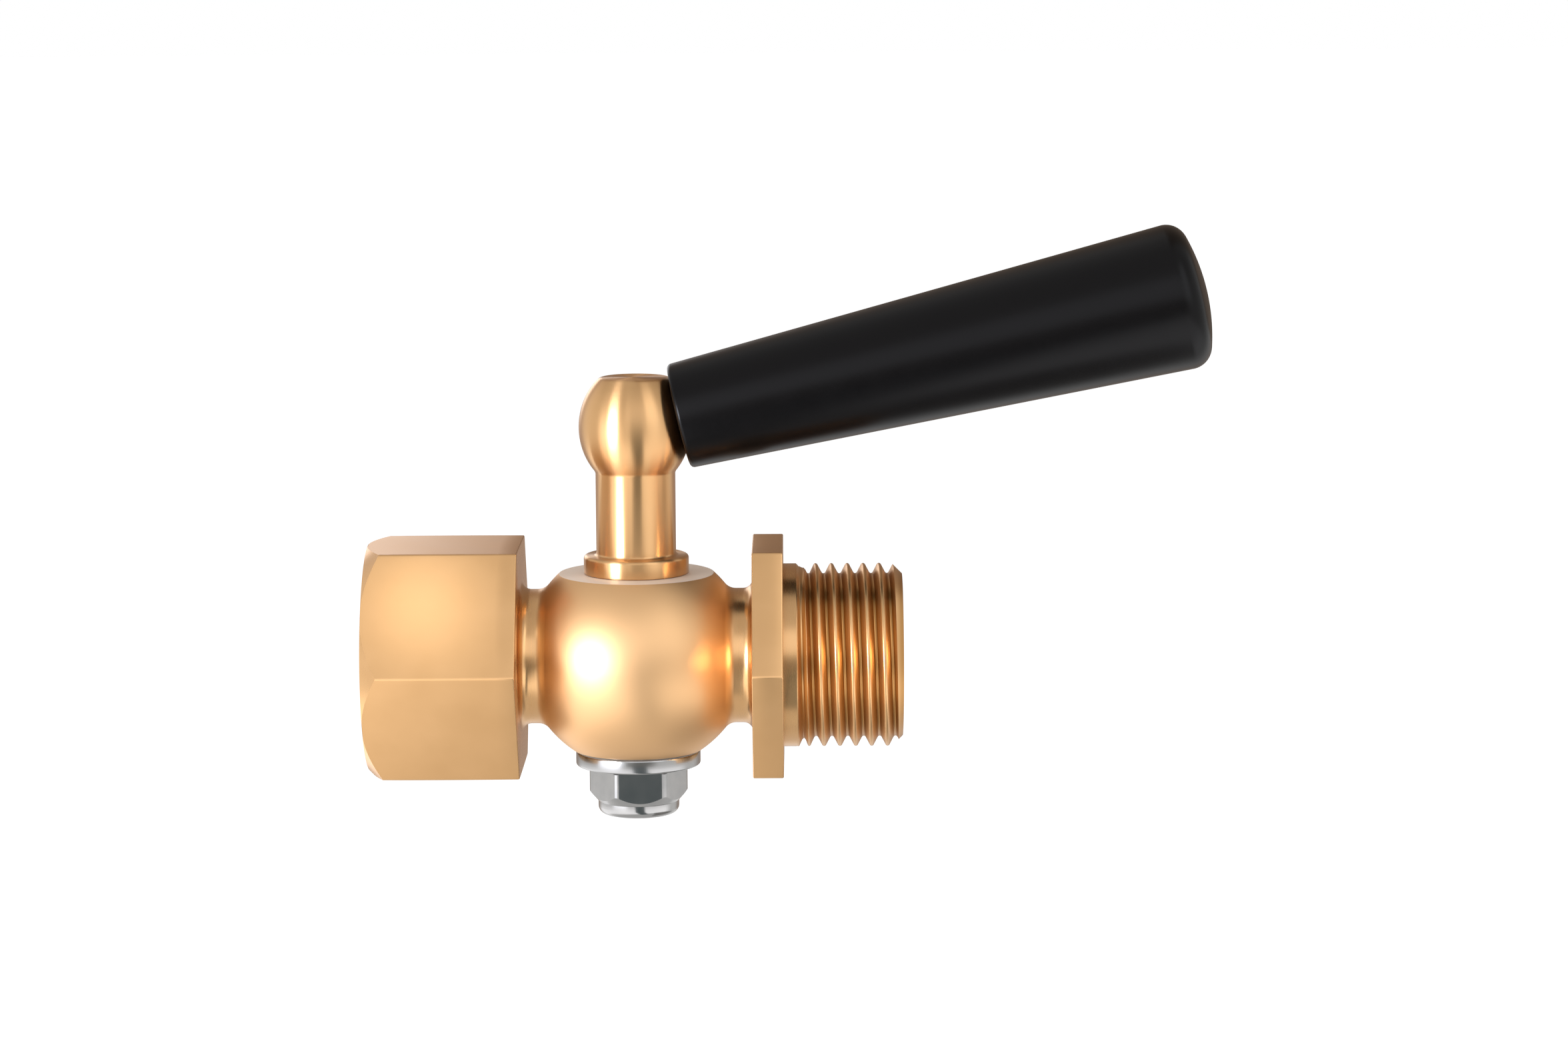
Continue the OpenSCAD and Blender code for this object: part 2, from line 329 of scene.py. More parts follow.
def helix(
    axis: Axis,
    form: ThreadForm,
    steps: tuple[int, int, int],
    turns: tuple[int, int],
    cols: int,
    travel: Callable[[Array], Array],
    limits: Callable[[Array], tuple[Array, Array]],
) -> Shape:
    """A threaded bar whose rows of points follow the thread's own crests and roots.

    Row i keeps one phase of the thread all the way round. With t = row's turn + phase + column /
    columns, a point lies travel(t) along the axis at minor(t) + height * (major(t) - minor(t)).
    After one turn a row meets the row one pitch on, so the last column joins the first column
    one pitch of rows higher. Each open end is closed to a pole on the axis.

    Args:
        axis: The line the thread goes round.
        form: The thread's form.
        steps: Steps of half a crest, of a flank and of half a root.
        turns: First and last turn.
        cols: Columns round the axis.
        travel: Gives the distance along the axis at a count of turns.
        limits: Gives the smallest and the largest radius at a count of turns.

    Returns:
        The closed surface.
    """
    phase, height = form.outline(*steps)
    per_turn = len(phase)
    count = (turns[1] - turns[0]) * per_turn + 1
    row = np.arange(count)
    t = (turns[0] + row // per_turn + phase[row % per_turn])[:, None] + np.arange(cols)[None, :] / cols
    low, high = limits(t)
    radius = low + height[row % per_turn][:, None] * (high - low)
    along = travel(t)
    angle = np.arange(cols) * TURN / cols
    grid = axis.place(along, radius, angle[None, :]).reshape(-1, 3)
    number = row[:, None] * cols + np.arange(cols)[None, :]
    inner = np.stack([number[:-1, :-1], number[:-1, 1:], number[1:, 1:], number[1:, :-1]], -1)
    seam_rows = np.arange(count - 1 - per_turn)
    seam_last, seam_first = number[:, -1], number[per_turn:, 0]
    seam = np.stack(
        [seam_last[seam_rows], seam_first[seam_rows], seam_first[seam_rows + 1], seam_last[seam_rows + 1]], -1
    )
    first = np.concatenate([number[0], number[per_turn:0:-1, 0]])
    last = np.concatenate([number[-1], number[-2 : -per_turn - 2 : -1, -1]])
    poles = axis.place(np.array([along.min(), along.max()]), np.zeros(2), np.zeros(2))
    tris = np.concatenate([fan(first, len(grid), False), fan(last, len(grid) + 1, True)])
    quads = np.concatenate([inner.reshape(-1, 4), seam])
    return Shape(np.concatenate([grid, poles]), quads, tris)


def combine(base: bpy.types.Object, tool: bpy.types.Object, how: Join) -> bpy.types.Object:
    """Joins, cuts or trims a closed mesh with a second one, which is used up.

    Args:
        base: The object that is changed.
        tool: The object that changes it.
        how: What is done.

    Returns:
        The base object with its new mesh.
    """
    modifier = base.modifiers.new(how.name.lower(), "BOOLEAN")
    modifier.operation = how.value
    modifier.solver = "MANIFOLD"
    modifier.object = tool
    graph = bpy.context.evaluated_depsgraph_get()
    result = bpy.data.meshes.new_from_object(base.evaluated_get(graph))
    spent, used = base.data, tool.data
    base.modifiers.clear()
    base.data = result
    bpy.data.objects.remove(tool)
    bpy.data.meshes.remove(spent)
    bpy.data.meshes.remove(used)
    if not len(result.polygons):
        raise ValueError(f"{how.name} left nothing of {base.name}")
    return base


def screw(
    axis: Axis, form: ThreadForm, ends: Span, chamfer: float, name: str, shift: float
) -> bpy.types.Object:
    """A plain screw thread that keeps its depth, with a 45 degree chamfer at its first end.

    Args:
        axis: The line the thread goes round.
        form: The thread's form.
        ends: Where it starts and ends along the line; the end lies inside another piece.
        chamfer: How far the start is turned down below the crests.
        name: Name of the new object.
        shift: Distance from the frame's origin back to the plug axis.

    Returns:
        The threaded bar, which goes 1 mm past its end.
    """
    start, end = ends

    def travel(t: Array) -> Array:
        """Distance along the line at t turns."""
        return start + form.pitch * t

    def limits(t: Array) -> tuple[Array, Array]:
        """Smallest and largest radius, the same at all turns."""
        return np.full_like(t, form.minor), np.full_like(t, form.major)

    turns = (-2, int((end - start) / form.pitch) + 3)
    made = helix(axis, form, SCREW_STEPS, turns, SCREW_COLS, travel, limits).to_object(name, shift)
    wide = form.major + 1
    blank = [(form.major - chamfer, start), (wide, start + 1 + chamfer), (wide, end + 1)]
    return combine(made, revolve(axis, np.array(blank), SCREW_COLS).to_object("blank", shift), Join.KEEP)


def dress(
    piece: bpy.types.Object, finishes: Sequence[bpy.types.Material], body: str, node: str
) -> bpy.types.Object:
    """Gives a piece its finishes, smooth shading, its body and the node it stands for.

    Edges sharper than SMOOTH_BELOW stay edges.

    Args:
        piece: The finished mesh.
        finishes: Its materials, in the order of their slots.
        body: The body it moves with.
        node: The solid it replaces.

    Returns:
        The piece.
    """
    mesh = piece.data
    mesh.materials.clear()
    for finish in finishes:
        mesh.materials.append(finish)
    mesh.polygons.foreach_set("use_smooth", np.ones(len(mesh.polygons), bool))
    mesh.set_sharp_from_angle(angle=SMOOTH_BELOW)
    mesh.update()
    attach(piece, body)
    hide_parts(node)
    return piece


def face_layout(mesh: bpy.types.Mesh) -> tuple[Array, Array]:
    """Gives the middle, in millimetres, and the normal of each face of a mesh.

    Args:
        mesh: The mesh that is read.

    Returns:
        The middles and the normals, one row a face.
    """
    count = len(mesh.polygons)
    middle, normal = np.empty(count * 3, np.float32), np.empty(count * 3, np.float32)
    mesh.polygons.foreach_get("center", middle)
    mesh.polygons.foreach_get("normal", normal)
    return middle.reshape(-1, 3) * MM_PER_M, normal.reshape(-1, 3)


class Wire:
    """A shader socket that carries a number; arithmetic on it adds Math nodes."""

    def __init__(self, graph: "Graph", socket: bpy.types.NodeSocket) -> None:
        """Keeps the graph that the socket belongs to."""
        self.graph = graph
        self.socket = socket

    def _math(self, operation: str, first: Any, second: Any) -> "Wire":
        """Adds one Math node on two values."""
        return self.graph.out("ShaderNodeMath", {"operation": operation}, {0: first, 1: second})

    def __add__(self, other: Any) -> "Wire":
        """self + other."""
        return self._math("ADD", self, other)

    def __radd__(self, other: Any) -> "Wire":
        """other + self."""
        return self._math("ADD", other, self)

    def __sub__(self, other: Any) -> "Wire":
        """self - other."""
        return self._math("SUBTRACT", self, other)

    def __rsub__(self, other: Any) -> "Wire":
        """other - self."""
        return self._math("SUBTRACT", other, self)

    def __mul__(self, other: Any) -> "Wire":
        """self * other."""
        return self._math("MULTIPLY", self, other)

    def __rmul__(self, other: Any) -> "Wire":
        """other * self."""
        return self._math("MULTIPLY", other, self)

    def __pow__(self, other: float) -> "Wire":
        """self to the power of other."""
        return self._math("POWER", self, other)


class Graph:
    """The nodes of one material or of the world."""

    def __init__(self, tree: bpy.types.NodeTree) -> None:
        """Starts from an empty tree."""
        self.tree = tree
        tree.nodes.clear()

    def node(
        self, kind: str, settings: dict[str, Any] | None = None, inputs: dict[Any, Any] | None = None
    ) -> bpy.types.Node:
        """Adds one node.

        Args:
            kind: The node's type.
            settings: Its properties, set first.
            inputs: Values, sockets or wires by input name or number.

        Returns:
            The node.
        """
        made = self.tree.nodes.new(kind)
        for name, value in (settings or {}).items():
            setattr(made, name, value)
        for name, value in (inputs or {}).items():
            source = value.socket if isinstance(value, Wire) else value
            if isinstance(source, bpy.types.NodeSocket):
                self.tree.links.new(source, made.inputs[name])
            else:
                made.inputs[name].default_value = source
        return made

    def out(
        self,
        kind: str,
        settings: dict[str, Any] | None = None,
        inputs: dict[Any, Any] | None = None,
        socket: Any = 0,
    ) -> Wire:
        """Adds one node and gives one of its outputs as a wire."""
        return Wire(self, self.node(kind, settings, inputs).outputs[socket])

    def ease(self, value: Wire, start: float, end: float) -> Wire:
        """0 before start and 1 past end, or the other way round where end is smaller, eased between."""
        inputs = {"Value": value, "From Min": start, "From Max": end}
        return self.out("ShaderNodeMapRange", {"interpolation_type": "SMOOTHSTEP"}, inputs)

    def mix(self, factor: Any, first: Any, second: Any) -> Wire:
        """Mixes two colours."""
        settings = {"data_type": "RGBA", "clamp_factor": True}
        return self.out("ShaderNodeMix", settings, {0: factor, 6: first, 7: second}, 2)


def rgba(colour: Triple) -> tuple[float, float, float, float]:
    """Adds full opacity to a colour."""
    return (*colour, 1.0)


@dataclass(frozen=True)
class Place:
    """Where a finish takes its pattern from: the point, in mm, and the tilt of its own axes."""

    centre: Triple = (0.0, 0.0, 0.0)
    tilt: float = 0.0


def crossing(seat_x: float) -> Place:
    """The place where the flow axis and the plug axis cross."""
    return Place((-seat_x, 0.0, 0.0))


class Finish:
    """Parts that all finishes share."""

    def coordinates(self, graph: Graph, place: Place) -> tuple[Wire, Wire, Wire, Wire]:
        """Object coordinates in millimetres from a place, turned to its tilt about Y.

        Args:
            graph: The material's nodes.
            place: The centre and tilt of the pattern.

        Returns:
            The vector and its three parts.
        """
        coords = graph.out("ShaderNodeTexCoord", socket="Object")
        moved = graph.out(
            "ShaderNodeMapping",
            {"vector_type": "POINT"},
            {"Vector": coords, "Scale": (MM_PER_M,) * 3, "Location": tuple(-c for c in place.centre)},
        )
        turned = graph.out(
            "ShaderNodeMapping",
            {"vector_type": "POINT"},
            {"Vector": moved, "Rotation": (0.0, math.radians(place.tilt), 0.0)},
        )
        parts = graph.node("ShaderNodeSeparateXYZ", inputs={0: turned}).outputs
        return turned, Wire(graph, parts[0]), Wire(graph, parts[1]), Wire(graph, parts[2])

    def noise(self, graph: Graph, vector: Wire, size: Triple, detail: float = 2.0) -> Wire:
        """Soft noise.

        Args:
            graph: The material's nodes.
            vector: Coordinates in mm.
            size: About how large its blobs are along each axis, in mm.
            detail: How many finer layers it has.

        Returns:
            Values from 0 to 1.
        """
        scaled = graph.out(
            "ShaderNodeMapping",
            {"vector_type": "POINT"},
            {"Vector": vector, "Scale": tuple(1.0 / s for s in size)},
        )
        return graph.out("ShaderNodeTexNoise", {}, {"Vector": scaled, "Scale": 1.0, "Detail": detail}, "Fac")

    def bump(self, graph: Graph, height: Wire, depth: float) -> Wire:
        """A Bump node for a height between 0 and 1 that stands for a depth in mm."""
        return graph.out("ShaderNodeBump", {}, {"Strength": 1.0, "Distance": depth * MM, "Height": height})

    def surface(self, name: str, fill: Callable[[Graph], dict[str, Any]]) -> bpy.types.Material:
        """Makes a material of one Principled shader.

        Args:
            name: Name of the material.
            fill: Gives the shader's inputs from the graph.

        Returns:
            The material.
        """
        material = bpy.data.materials.new(name)
        material.use_nodes = True
        graph = Graph(material.node_tree)
        shader = graph.node("ShaderNodeBsdfPrincipled", inputs=fill(graph))
        graph.node("ShaderNodeOutputMaterial", inputs={"Surface": shader.outputs[0]})
        return material


@dataclass(frozen=True)
class CutMetal(Finish):
    """Bare or plated metal with the fine marks of the tool that made its surface.

    Its colour wanders between light and dark in clouds, and its roughness by the unevenness.
    Within satin_reach of the place, along X, it turns to the roughness satin and to a slightly
    paler colour, a painted highlight tint. Towards the flow axis it turns to a darker colour,
    painted shade in the thread's roots. Stretch draws reflections out across the marks. Rings
    count a share, slant, of the distance from the axis too, so that they show on walls and on
    end faces alike, and streaks are streak widths long.
    """

    name: str
    light: Triple
    dark: Triple
    roughness: float
    lay: Lay
    place: Place
    mark_width: float = 0.16
    mark_depth: float = 0.0006
    cloud_size: float = 5.0
    unevenness: float = 0.05
    satin: float = 0.0
    satin_reach: Span = (0.0, 0.0)
    # A paler colour for the satin zone: a painted highlight tint.
    highlight_tint: Triple | None = None
    metallic: float = 1.0
    stretch: float = 0.0
    # Darker colour near the flow axis and how far it reaches: painted shade in the thread's roots.
    root_shade: Triple | None = None
    root_shade_reach: Span = (0.0, 0.0)
    slant: float = 0.62
    streak: float = 120.0
    mark_detail: float = 3.0
    cloud_gain: float = 1.4

    def build(self) -> bpy.types.Material:
        """Builds the material."""
        return self.surface(self.name, self._inputs)

    def _satin_zone(self, graph: Graph, x: Wire) -> Any:
        """How satin the metal is: 1 close to the place's centre, falling to 0 further out.

        Args:
            graph: The material's nodes.
            x: Distance from the place along X.

        Returns:
            A wire, or plain 0 where no part of the metal is satin.
        """
        if not self.satin:
            return 0.0
        start, end = self.satin_reach
        return graph.ease(graph.out("ShaderNodeMath", {"operation": "ABSOLUTE"}, {0: x}), end, start)

    def _shade_roots(self, graph: Graph, colour: Wire, y: Wire, z: Wire) -> Wire:
        """Adds painted shade in the thread's roots: full close to the flow axis, none further out.

        Args:
            graph: The material's nodes.
            colour: Colour of the metal without the painted shade.
            y: Distance from the flow axis along Y.
            z: Distance from the flow axis along Z.

        Returns:
            The colour with its painted shade.
        """
        if self.root_shade is None:
            return colour
        unshaded = graph.ease((y * y + z * z) ** 0.5, *self.root_shade_reach)
        return graph.mix(unshaded, rgba(self.root_shade), colour)

    def _marks(self, graph: Graph, vector: Wire, x: Wire, y: Wire, z: Wire) -> Wire:
        """Noise that varies only across the marks.

        Rings vary with the distance along the axis plus a share of the distance from it. Streaks
        vary round the axis and hardly along it.

        Args:
            graph: The material's nodes.
            vector: Coordinates from the place.
            x: First part of the vector.
            y: Second part of the vector.
            z: Third part of the vector.

        Returns:
            The height of the marks, from 0 to 1.
        """
        width, detail = self.mark_width, self.mark_detail
        if self.lay is Lay.DRAWN:
            return self.noise(graph, vector, (width * self.streak, width, width), detail)
        along, first, second = (x, y, z) if self.lay is Lay.TURNED_ON_FLOW else (z, x, y)
        across = along + self.slant * (first * first + second * second) ** 0.5
        inputs = {"W": across * (1.0 / width), "Scale": 1.0, "Detail": detail}
        return graph.out("ShaderNodeTexNoise", {"noise_dimensions": "1D"}, inputs, "Fac")

    def _inputs(self, graph: Graph) -> dict[str, Any]:
        """Colour, roughness and bump from the tool marks and from slow clouds of tarnish.

        Args:
            graph: The material's nodes.

        Returns:
            Inputs of the shader by name.
        """
        vector, x, y, z = self.coordinates(graph, self.place)
        marks = self._marks(graph, vector, x, y, z)
        cloud = self.noise(graph, vector, (self.cloud_size,) * 3)
        uneven = self.unevenness * (cloud - 0.5) + 0.5 * self.unevenness * (marks - 0.5)
        zone = self._satin_zone(graph, x)
        rough = uneven + zone * (self.satin - self.roughness) + self.roughness
        share = cloud * self.cloud_gain - (self.cloud_gain - 1) / 2
        metal = graph.mix(share, rgba(self.dark), rgba(self.light))
        # The satin ball turns a little paler: a painted highlight tint.
        if self.highlight_tint is not None:
            metal = graph.mix(zone, metal, rgba(self.highlight_tint))
        return {
            # Darker near the flow axis: painted shade in the thread's roots.
            "Base Color": self._shade_roots(graph, metal, y, z),
            "Metallic": self.metallic,
            "Roughness": rough,
            "Anisotropic": self.stretch,
            "Anisotropic Rotation": 0.25,
            "Normal": self.bump(graph, marks, self.mark_depth),
        }


@dataclass(frozen=True)
class Moulding(Finish):
    """Hard moulded plastic with a faint ripple."""

    name: str
    light: Triple
    dark: Triple
    roughness: float
    place: Place
    sheen: float = 0.5
    ripple_size: float = 2.4
    ripple_depth: float = 0.004
    grain_size: float = 0.3
    grain_gloss: float = 0.06
    ripple_gloss: float = 0.05

    def build(self) -> bpy.types.Material:
        """Builds the material."""
        return self.surface(self.name, self._inputs)

    def _inputs(self, graph: Graph) -> dict[str, Any]:
        """A slow ripple from the mould, and a fine grain in the colour and the gloss.

        Args:
            graph: The material's nodes.

        Returns:
            Inputs of the shader by name.
        """
        vector, _, _, _ = self.coordinates(graph, self.place)
        ripple = self.noise(graph, vector, (self.ripple_size,) * 3, 1.0)
        grain = self.noise(graph, vector, (self.grain_size,) * 3, 3.0)
        uneven = self.grain_gloss * (grain - 0.5) + self.ripple_gloss * (ripple - 0.5)
        return {
            "Base Color": graph.mix(grain, rgba(self.dark), rgba(self.light)),
            "Roughness": self.roughness + uneven,
            "IOR": 1.5,
            "Specular IOR Level": self.sheen,
            "Normal": self.bump(graph, ripple, self.ripple_depth),
        }


BRASS_LIGHT = (0.72, 0.43, 0.2)
BRASS_DARK = (0.66, 0.385, 0.172)
# Pale, mostly non-metal brass for the milled flats: a painted reflection of the white surroundings.
FACED_REFLECTION_LIGHT = (0.86, 0.76, 0.66)
FACED_REFLECTION_DARK = (0.8, 0.68, 0.57)
# A little paler brass for the satin ball: a painted highlight tint.
BRASS_HIGHLIGHT_TINT = (0.725, 0.448, 0.222)
# Darker, deeper brass for the thread's roots: painted shade.
BRASS_ROOT_SHADE = (0.48, 0.25, 0.085)
STEEL_LIGHT = (0.42, 0.41, 0.395)
STEEL_DARK = (0.34, 0.34, 0.335)
PHENOLIC = (0.0022, 0.0016, 0.0018), (0.0015, 0.0012, 0.0013)
NYLON = (0.86, 0.86, 0.8), (0.82, 0.82, 0.75)


@dataclass
class Body:
    """The one brass casting and machining: socket hexagon, ball, flange and threaded spigot."""

    seat_x: float
    socket_face: float
    spigot_end: float
    hex_af: float
    hex_len: float = 17.4
    hex_chamfer: float = 2.0
    flange_t: float = 3.5
    ball_d: float = 26.1
    top_flat: float = 9.6
    bottom_flat: float = 10.75
    neck_d: float = 15.4
    ball_fillet: float = 1.6
    hex_fillet: float = 1.1
    edge: float = 0.16
    flat_edge: float = 0.18
    corner: float = 0.2
    crown: float = 0.05
    passage_d: float = 7.0
    mouth_chamfer: float = 0.4
    socket_depth: float = 15.5
    socket_mouth: float = 21.6
    spigot_chamfer: float = 1.2
    plug_d: float = 10.0
    plug_taper: float = 7.0
    taper_gap: float = 0.05
    thread_start: float = 18.3
    first_crest: float = 20.5
    runout_bend: float = 0.3
    runout_turns: float = 2.2
    crest_dip: float = 0.5
    dip_start: float = 0.5
    root_start: float = 0.6
    root_rise: float = 1.3
    hidden_turns: int = 5
    socket_fade: float = 0.4
    cols: int = 168
    male_cols: int = 192
    female_cols: int = 120
    bar_tilt: float = 0.05
    flat_tilt: float = 0.9
    flat_height: float = 9.0
    seam: float = 0.02
    over: float = 1.0
    pipe: ThreadForm = ThreadForm(1.814, 10.4775, 9.3155, 27.5, 0.249)

    def _angles(self) -> Array:
        """Column angles: an even spread, with four more close to each corner of the hexagons.

        Returns:
            The angles in rising order, in radians.
        """
        even = np.arange(self.cols) * TURN / self.cols
        near = np.radians([-0.7, -0.35, 0.35, 0.7])
        extra = (np.arange(6)[:, None] * TURN / 6 + near[None, :]).ravel()
        return np.unique(np.mod(np.concatenate([even, extra]), TURN))

    def _rows(self, along: Any, radius: Any, angle: Array) -> tuple[Array, Array]:
        """Spreads a (radius, along) profile over all columns.

        Args:
            along: Distance of each row.
            radius: Radius of each row.
            angle: Column angles, in radians.

        Returns:
            Distances and radii, rows by columns.
        """
        along = np.atleast_1d(along)[:, None] * np.ones_like(angle)
        radius = np.atleast_1d(radius)[:, None] * np.ones_like(angle)
        return along, radius

    def _bar(self, angle: Array, x: Array, start: float, end: float) -> Array:
        """Radius of a crowned hexagon bar with level flats, at distances x between its ends.

        The crown lowers the wall with the square of the distance from the bar's middle too.

        Args:
            angle: Column angles, in radians.
            x: Distances along the axis.
            start: One end of the bar.
            end: Its other end.

        Returns:
            The radius at each angle and distance.
        """
        middle, half = (start + end) / 2, abs(end - start) / 2
        low = self.crown / 2 * ((x - middle) / half) ** 2
        return polygon_radius(angle - math.pi / 2, 6, self.hex_af / 2 - low, self.corner, self.crown)

    def _edge_rows(
        self, angle: Array, x: float, start: float, end: float, rising: bool
    ) -> tuple[Array, Array]:
        """A quarter-round edge between the bar's wall and an end face at x.

        Args:
            angle: Column angles.
            x: Place of the end face.
            start: One end of the bar.
            end: Other end of the bar.
            rising: True where the profile goes from the face up to the wall.

        Returns:
            Distances and radii, rows by columns.
        """
        t = np.radians(np.linspace(0, 90, 4))[:, None]
        inward = 1.0 if rising else -1.0
        along = x + inward * self.edge * (1 - np.sin(t)) + 0 * angle
        radius = self._bar(angle, along, start, end) - self.edge * (1 - np.cos(t))
        order = slice(None, None, -1) if rising else slice(None)
        return along[order], radius[order]

    def _socket_rows(self, angle: Array) -> list[tuple[Array, Array]]:
        """End face, 45 degree cone and wall of the socket hexagon.

        The cone meets the wall where its own radius, which grows as fast as the distance from the
        end face, equals the radius of the hexagon. That line is one row of points.

        Args:
            angle: Column angles, in radians.

        Returns:
            Distances and radii, rows by columns, one pair for the cone and one for the wall.
        """
        start, end = -self.socket_face, -self.socket_face + self.hex_len
        face_r = self.hex_af / math.sqrt(3) - self.hex_chamfer
        wall = self._bar(angle, np.full_like(angle, start), start, end)
        meet = start + np.maximum(wall - face_r, 0.01)
        share = np.linspace(0, 1, 5)[:, None]
        cone = start + share * (meet - start), face_r + share * (wall - face_r)
        share = np.linspace(0, 1, 9)[1:, None]
        along = meet + share * (end - self.edge - meet)
        return [cone, (along, self._bar(angle, along, start, end))]

    def _neck(self, side: float, face: float) -> Array:
        """Profile of a neck from the ball to a hexagon's face, as (radius, distance) pairs.

        The ball's fillet touches the ball where the line from the ball's middle to the fillet's
        middle crosses it.

        Args:
            side: -1 for the neck of the socket hexagon, 1 for that of the flange.
            face: Distance of the hexagon's face.

        Returns:
            The profile from the ball outwards.
        """
        ball_r, neck_r, fillet = self.ball_d / 2, self.neck_d / 2, self.ball_fillet
        centre_r = neck_r + fillet
        centre_x = math.sqrt((ball_r + fillet) ** 2 - centre_r**2)
        reach = math.degrees(math.asin(centre_r / (ball_r + fillet)))
        rise = arc((centre_r, centre_x), fillet, 270 - reach, 180, 14)
        run = arc((neck_r + self.hex_fillet, face - self.hex_fillet), self.hex_fillet, 180, 90, 10)
        return np.concatenate([rise, run]) * (1, side)

    def _ball_rows(self, angle: Array) -> tuple[Array, Array]:
        """The ball between its two necks: radius R cos(b), distance R sin(b).

        Args:
            angle: Column angles, in radians.

        Returns:
            Distances and radii, rows by columns.
        """
        ball_r, centre_r = self.ball_d / 2, self.neck_d / 2 + self.ball_fillet
        reach = math.acos(centre_r / (ball_r + self.ball_fillet))
        b = np.linspace(-reach, reach, 66)[1:-1]
        return self._rows(ball_r * np.sin(b), ball_r * np.cos(b), angle)

    def _core(self) -> Shape:
        """Everything outside that is turned or hexagonal, as one grid round the flow axis.

        Returns:
            The closed surface, without the spigot.
        """
        angle = self._angles()
        start, end = -self.socket_face, -self.socket_face + self.hex_len
        inner, outer = self.seat_x - self.flange_t, self.seat_x
        left, right = self._neck(-1, -end)[::-1], self._neck(1, inner)
        rows = self._socket_rows(angle)
        rows.append(self._edge_rows(angle, end, start, end, False))
        rows.append(self._rows(left[:, 1], left[:, 0], angle))
        rows.append(self._ball_rows(angle))
        rows.append(self._rows(right[:, 1], right[:, 0], angle))
        rows.append(self._edge_rows(angle, inner, inner, outer, True))
        rows.append(self._edge_rows(angle, outer, inner, outer, False))
        along = np.concatenate([r[0] for r in rows])
        radius = np.concatenate([r[1] for r in rows])
        return lathe(FLOW, along, radius, angle)

    def _male_travel(self, t: Array) -> Array:
        """Distance of the male thread at t turns.

        The crest is on top at t = 1/4. Below that the helix slows as a parabola until the thread
        has run out, and then goes on at its pitch inside the flange.

        Args:
            t: Turns.

        Returns:
            Distances from the plug axis.
        """
        u = t - 0.25
        slow = np.clip(u, -self.runout_turns, 0)
        return self.first_crest + self.pipe.pitch * u + self.runout_bend * slow**2

    def _male_limits(self, t: Array) -> tuple[Array, Array]:
        """Root and crest radius of the male thread: the root rises and the crest dips as it runs out.

        Args:
            t: Turns.

        Returns:
            The smallest and the largest radius.
        """
        u = 0.25 - t
        share = np.clip((u - self.root_start) / self.root_rise, 0, 1)
        root = self.pipe.minor + (self.pipe.major - self.pipe.minor) * share**2 * (3 - 2 * share)
        dip = np.sin(math.pi * np.clip(u - self.dip_start, 0, 1)) ** 2
        crest = self.pipe.major - self.crest_dip * dip
        return np.minimum(root, np.where(u > self.runout_turns, self.pipe.major, crest)), crest

    def _male(self, shift: float) -> bpy.types.Object:
        """The threaded spigot, trimmed to its length with a 45 degree chamfer.

        Args:
            shift: Distance from the frame's origin back to the plug axis.

        Returns:
            The spigot, which goes 1 mm into the flange.
        """
        turns = (-self.hidden_turns, int((self.spigot_end - self.first_crest) / self.pipe.pitch) + 3)
        cols, end, chamfer = self.male_cols, self.spigot_end, self.spigot_chamfer
        thread = helix(FLOW, self.pipe, (3, 2, 2), turns, cols, self._male_travel, self._male_limits)
        wide = self.pipe.major + self.over
        blank = [
            (wide, self.seat_x - self.over),
            (wide, end - chamfer - self.over),
            (self.pipe.major - chamfer, end),
        ]
        made = thread.to_object("spigot", shift)
        return combine(made, revolve(FLOW, np.array(blank), cols).to_object("blank", shift), Join.KEEP)

    def _socket_cutter(self, shift: float) -> bpy.types.Object:
        """The tapped hole with its countersink, as a solid to cut away.

        Args:
            shift: Distance from the frame's origin back to the plug axis.

        Returns:
            The solid to cut away.
        """
        floor = -self.socket_face + self.socket_depth

        def travel(t: Array) -> Array:
            """Distance from the plug axis at t turns."""
            return -self.socket_face + self.pipe.pitch * t

        def limits(t: Array) -> tuple[Array, Array]:
            """Smallest and largest radius; the thread fades out over the last turn before the floor.

            Args:
                t: Turns.

            Returns:
                The two radii.
            """
            left = (self.socket_depth - self.pipe.pitch * t) / self.pipe.pitch
            depth = (self.pipe.major - self.pipe.minor) * np.clip(left - self.socket_fade, 0, 1)
            return np.full_like(t, self.pipe.minor), self.pipe.minor + depth

        turns, cols = (-2, int(self.socket_depth / self.pipe.pitch) + 3), self.female_cols
        made = helix(FLOW, self.pipe, (2, 1, 2), turns, cols, travel, limits).to_object("tap", shift)
        wide, face = self.pipe.major + self.over, -self.socket_face
        blank = np.array([(wide, face - self.over), (wide, floor)])
        combine(made, revolve(FLOW, blank, cols).to_object("blank", shift), Join.KEEP)
        mouth_r = self.socket_mouth / 2
        reach = mouth_r - self.pipe.minor + self.edge
        sink = np.array([(mouth_r + self.over, face - self.over), (mouth_r - reach, face + reach)])
        return combine(made, revolve(FLOW, sink, cols).to_object("sink", shift), Join.ADD)

    def _flat_cutter(self, height: float, side: float, shift: float, name: str) -> bpy.types.Object:
        """What is milled off the ball beyond a flat, with a slightly rounded rim left standing.

        Args:
            height: Distance of the flat from the flow axis.
            side: 1 for the top, -1 for the underside.
            shift: Distance from the frame's origin back to the plug axis.
            name: Name of the new object.

        Returns:
            The solid to cut away.
        """
        r, e = self.ball_d / 2, self.flat_edge
        rim = math.sqrt((r - e) ** 2 - (height - e) ** 2)
        touch = math.degrees(math.atan2(height - e, rim))
        curve = arc((rim, height - e), e, touch + 4, 90, 5)
        top = r + self.over
        out = curve[0] * (top / np.hypot(*curve[0]))
        profile = np.concatenate([[(out[0], top)], [out], curve]) * (1, side)
        return revolve(PLUG, profile if side < 0 else profile[::-1], ROUND_COLS).to_object(name, shift)

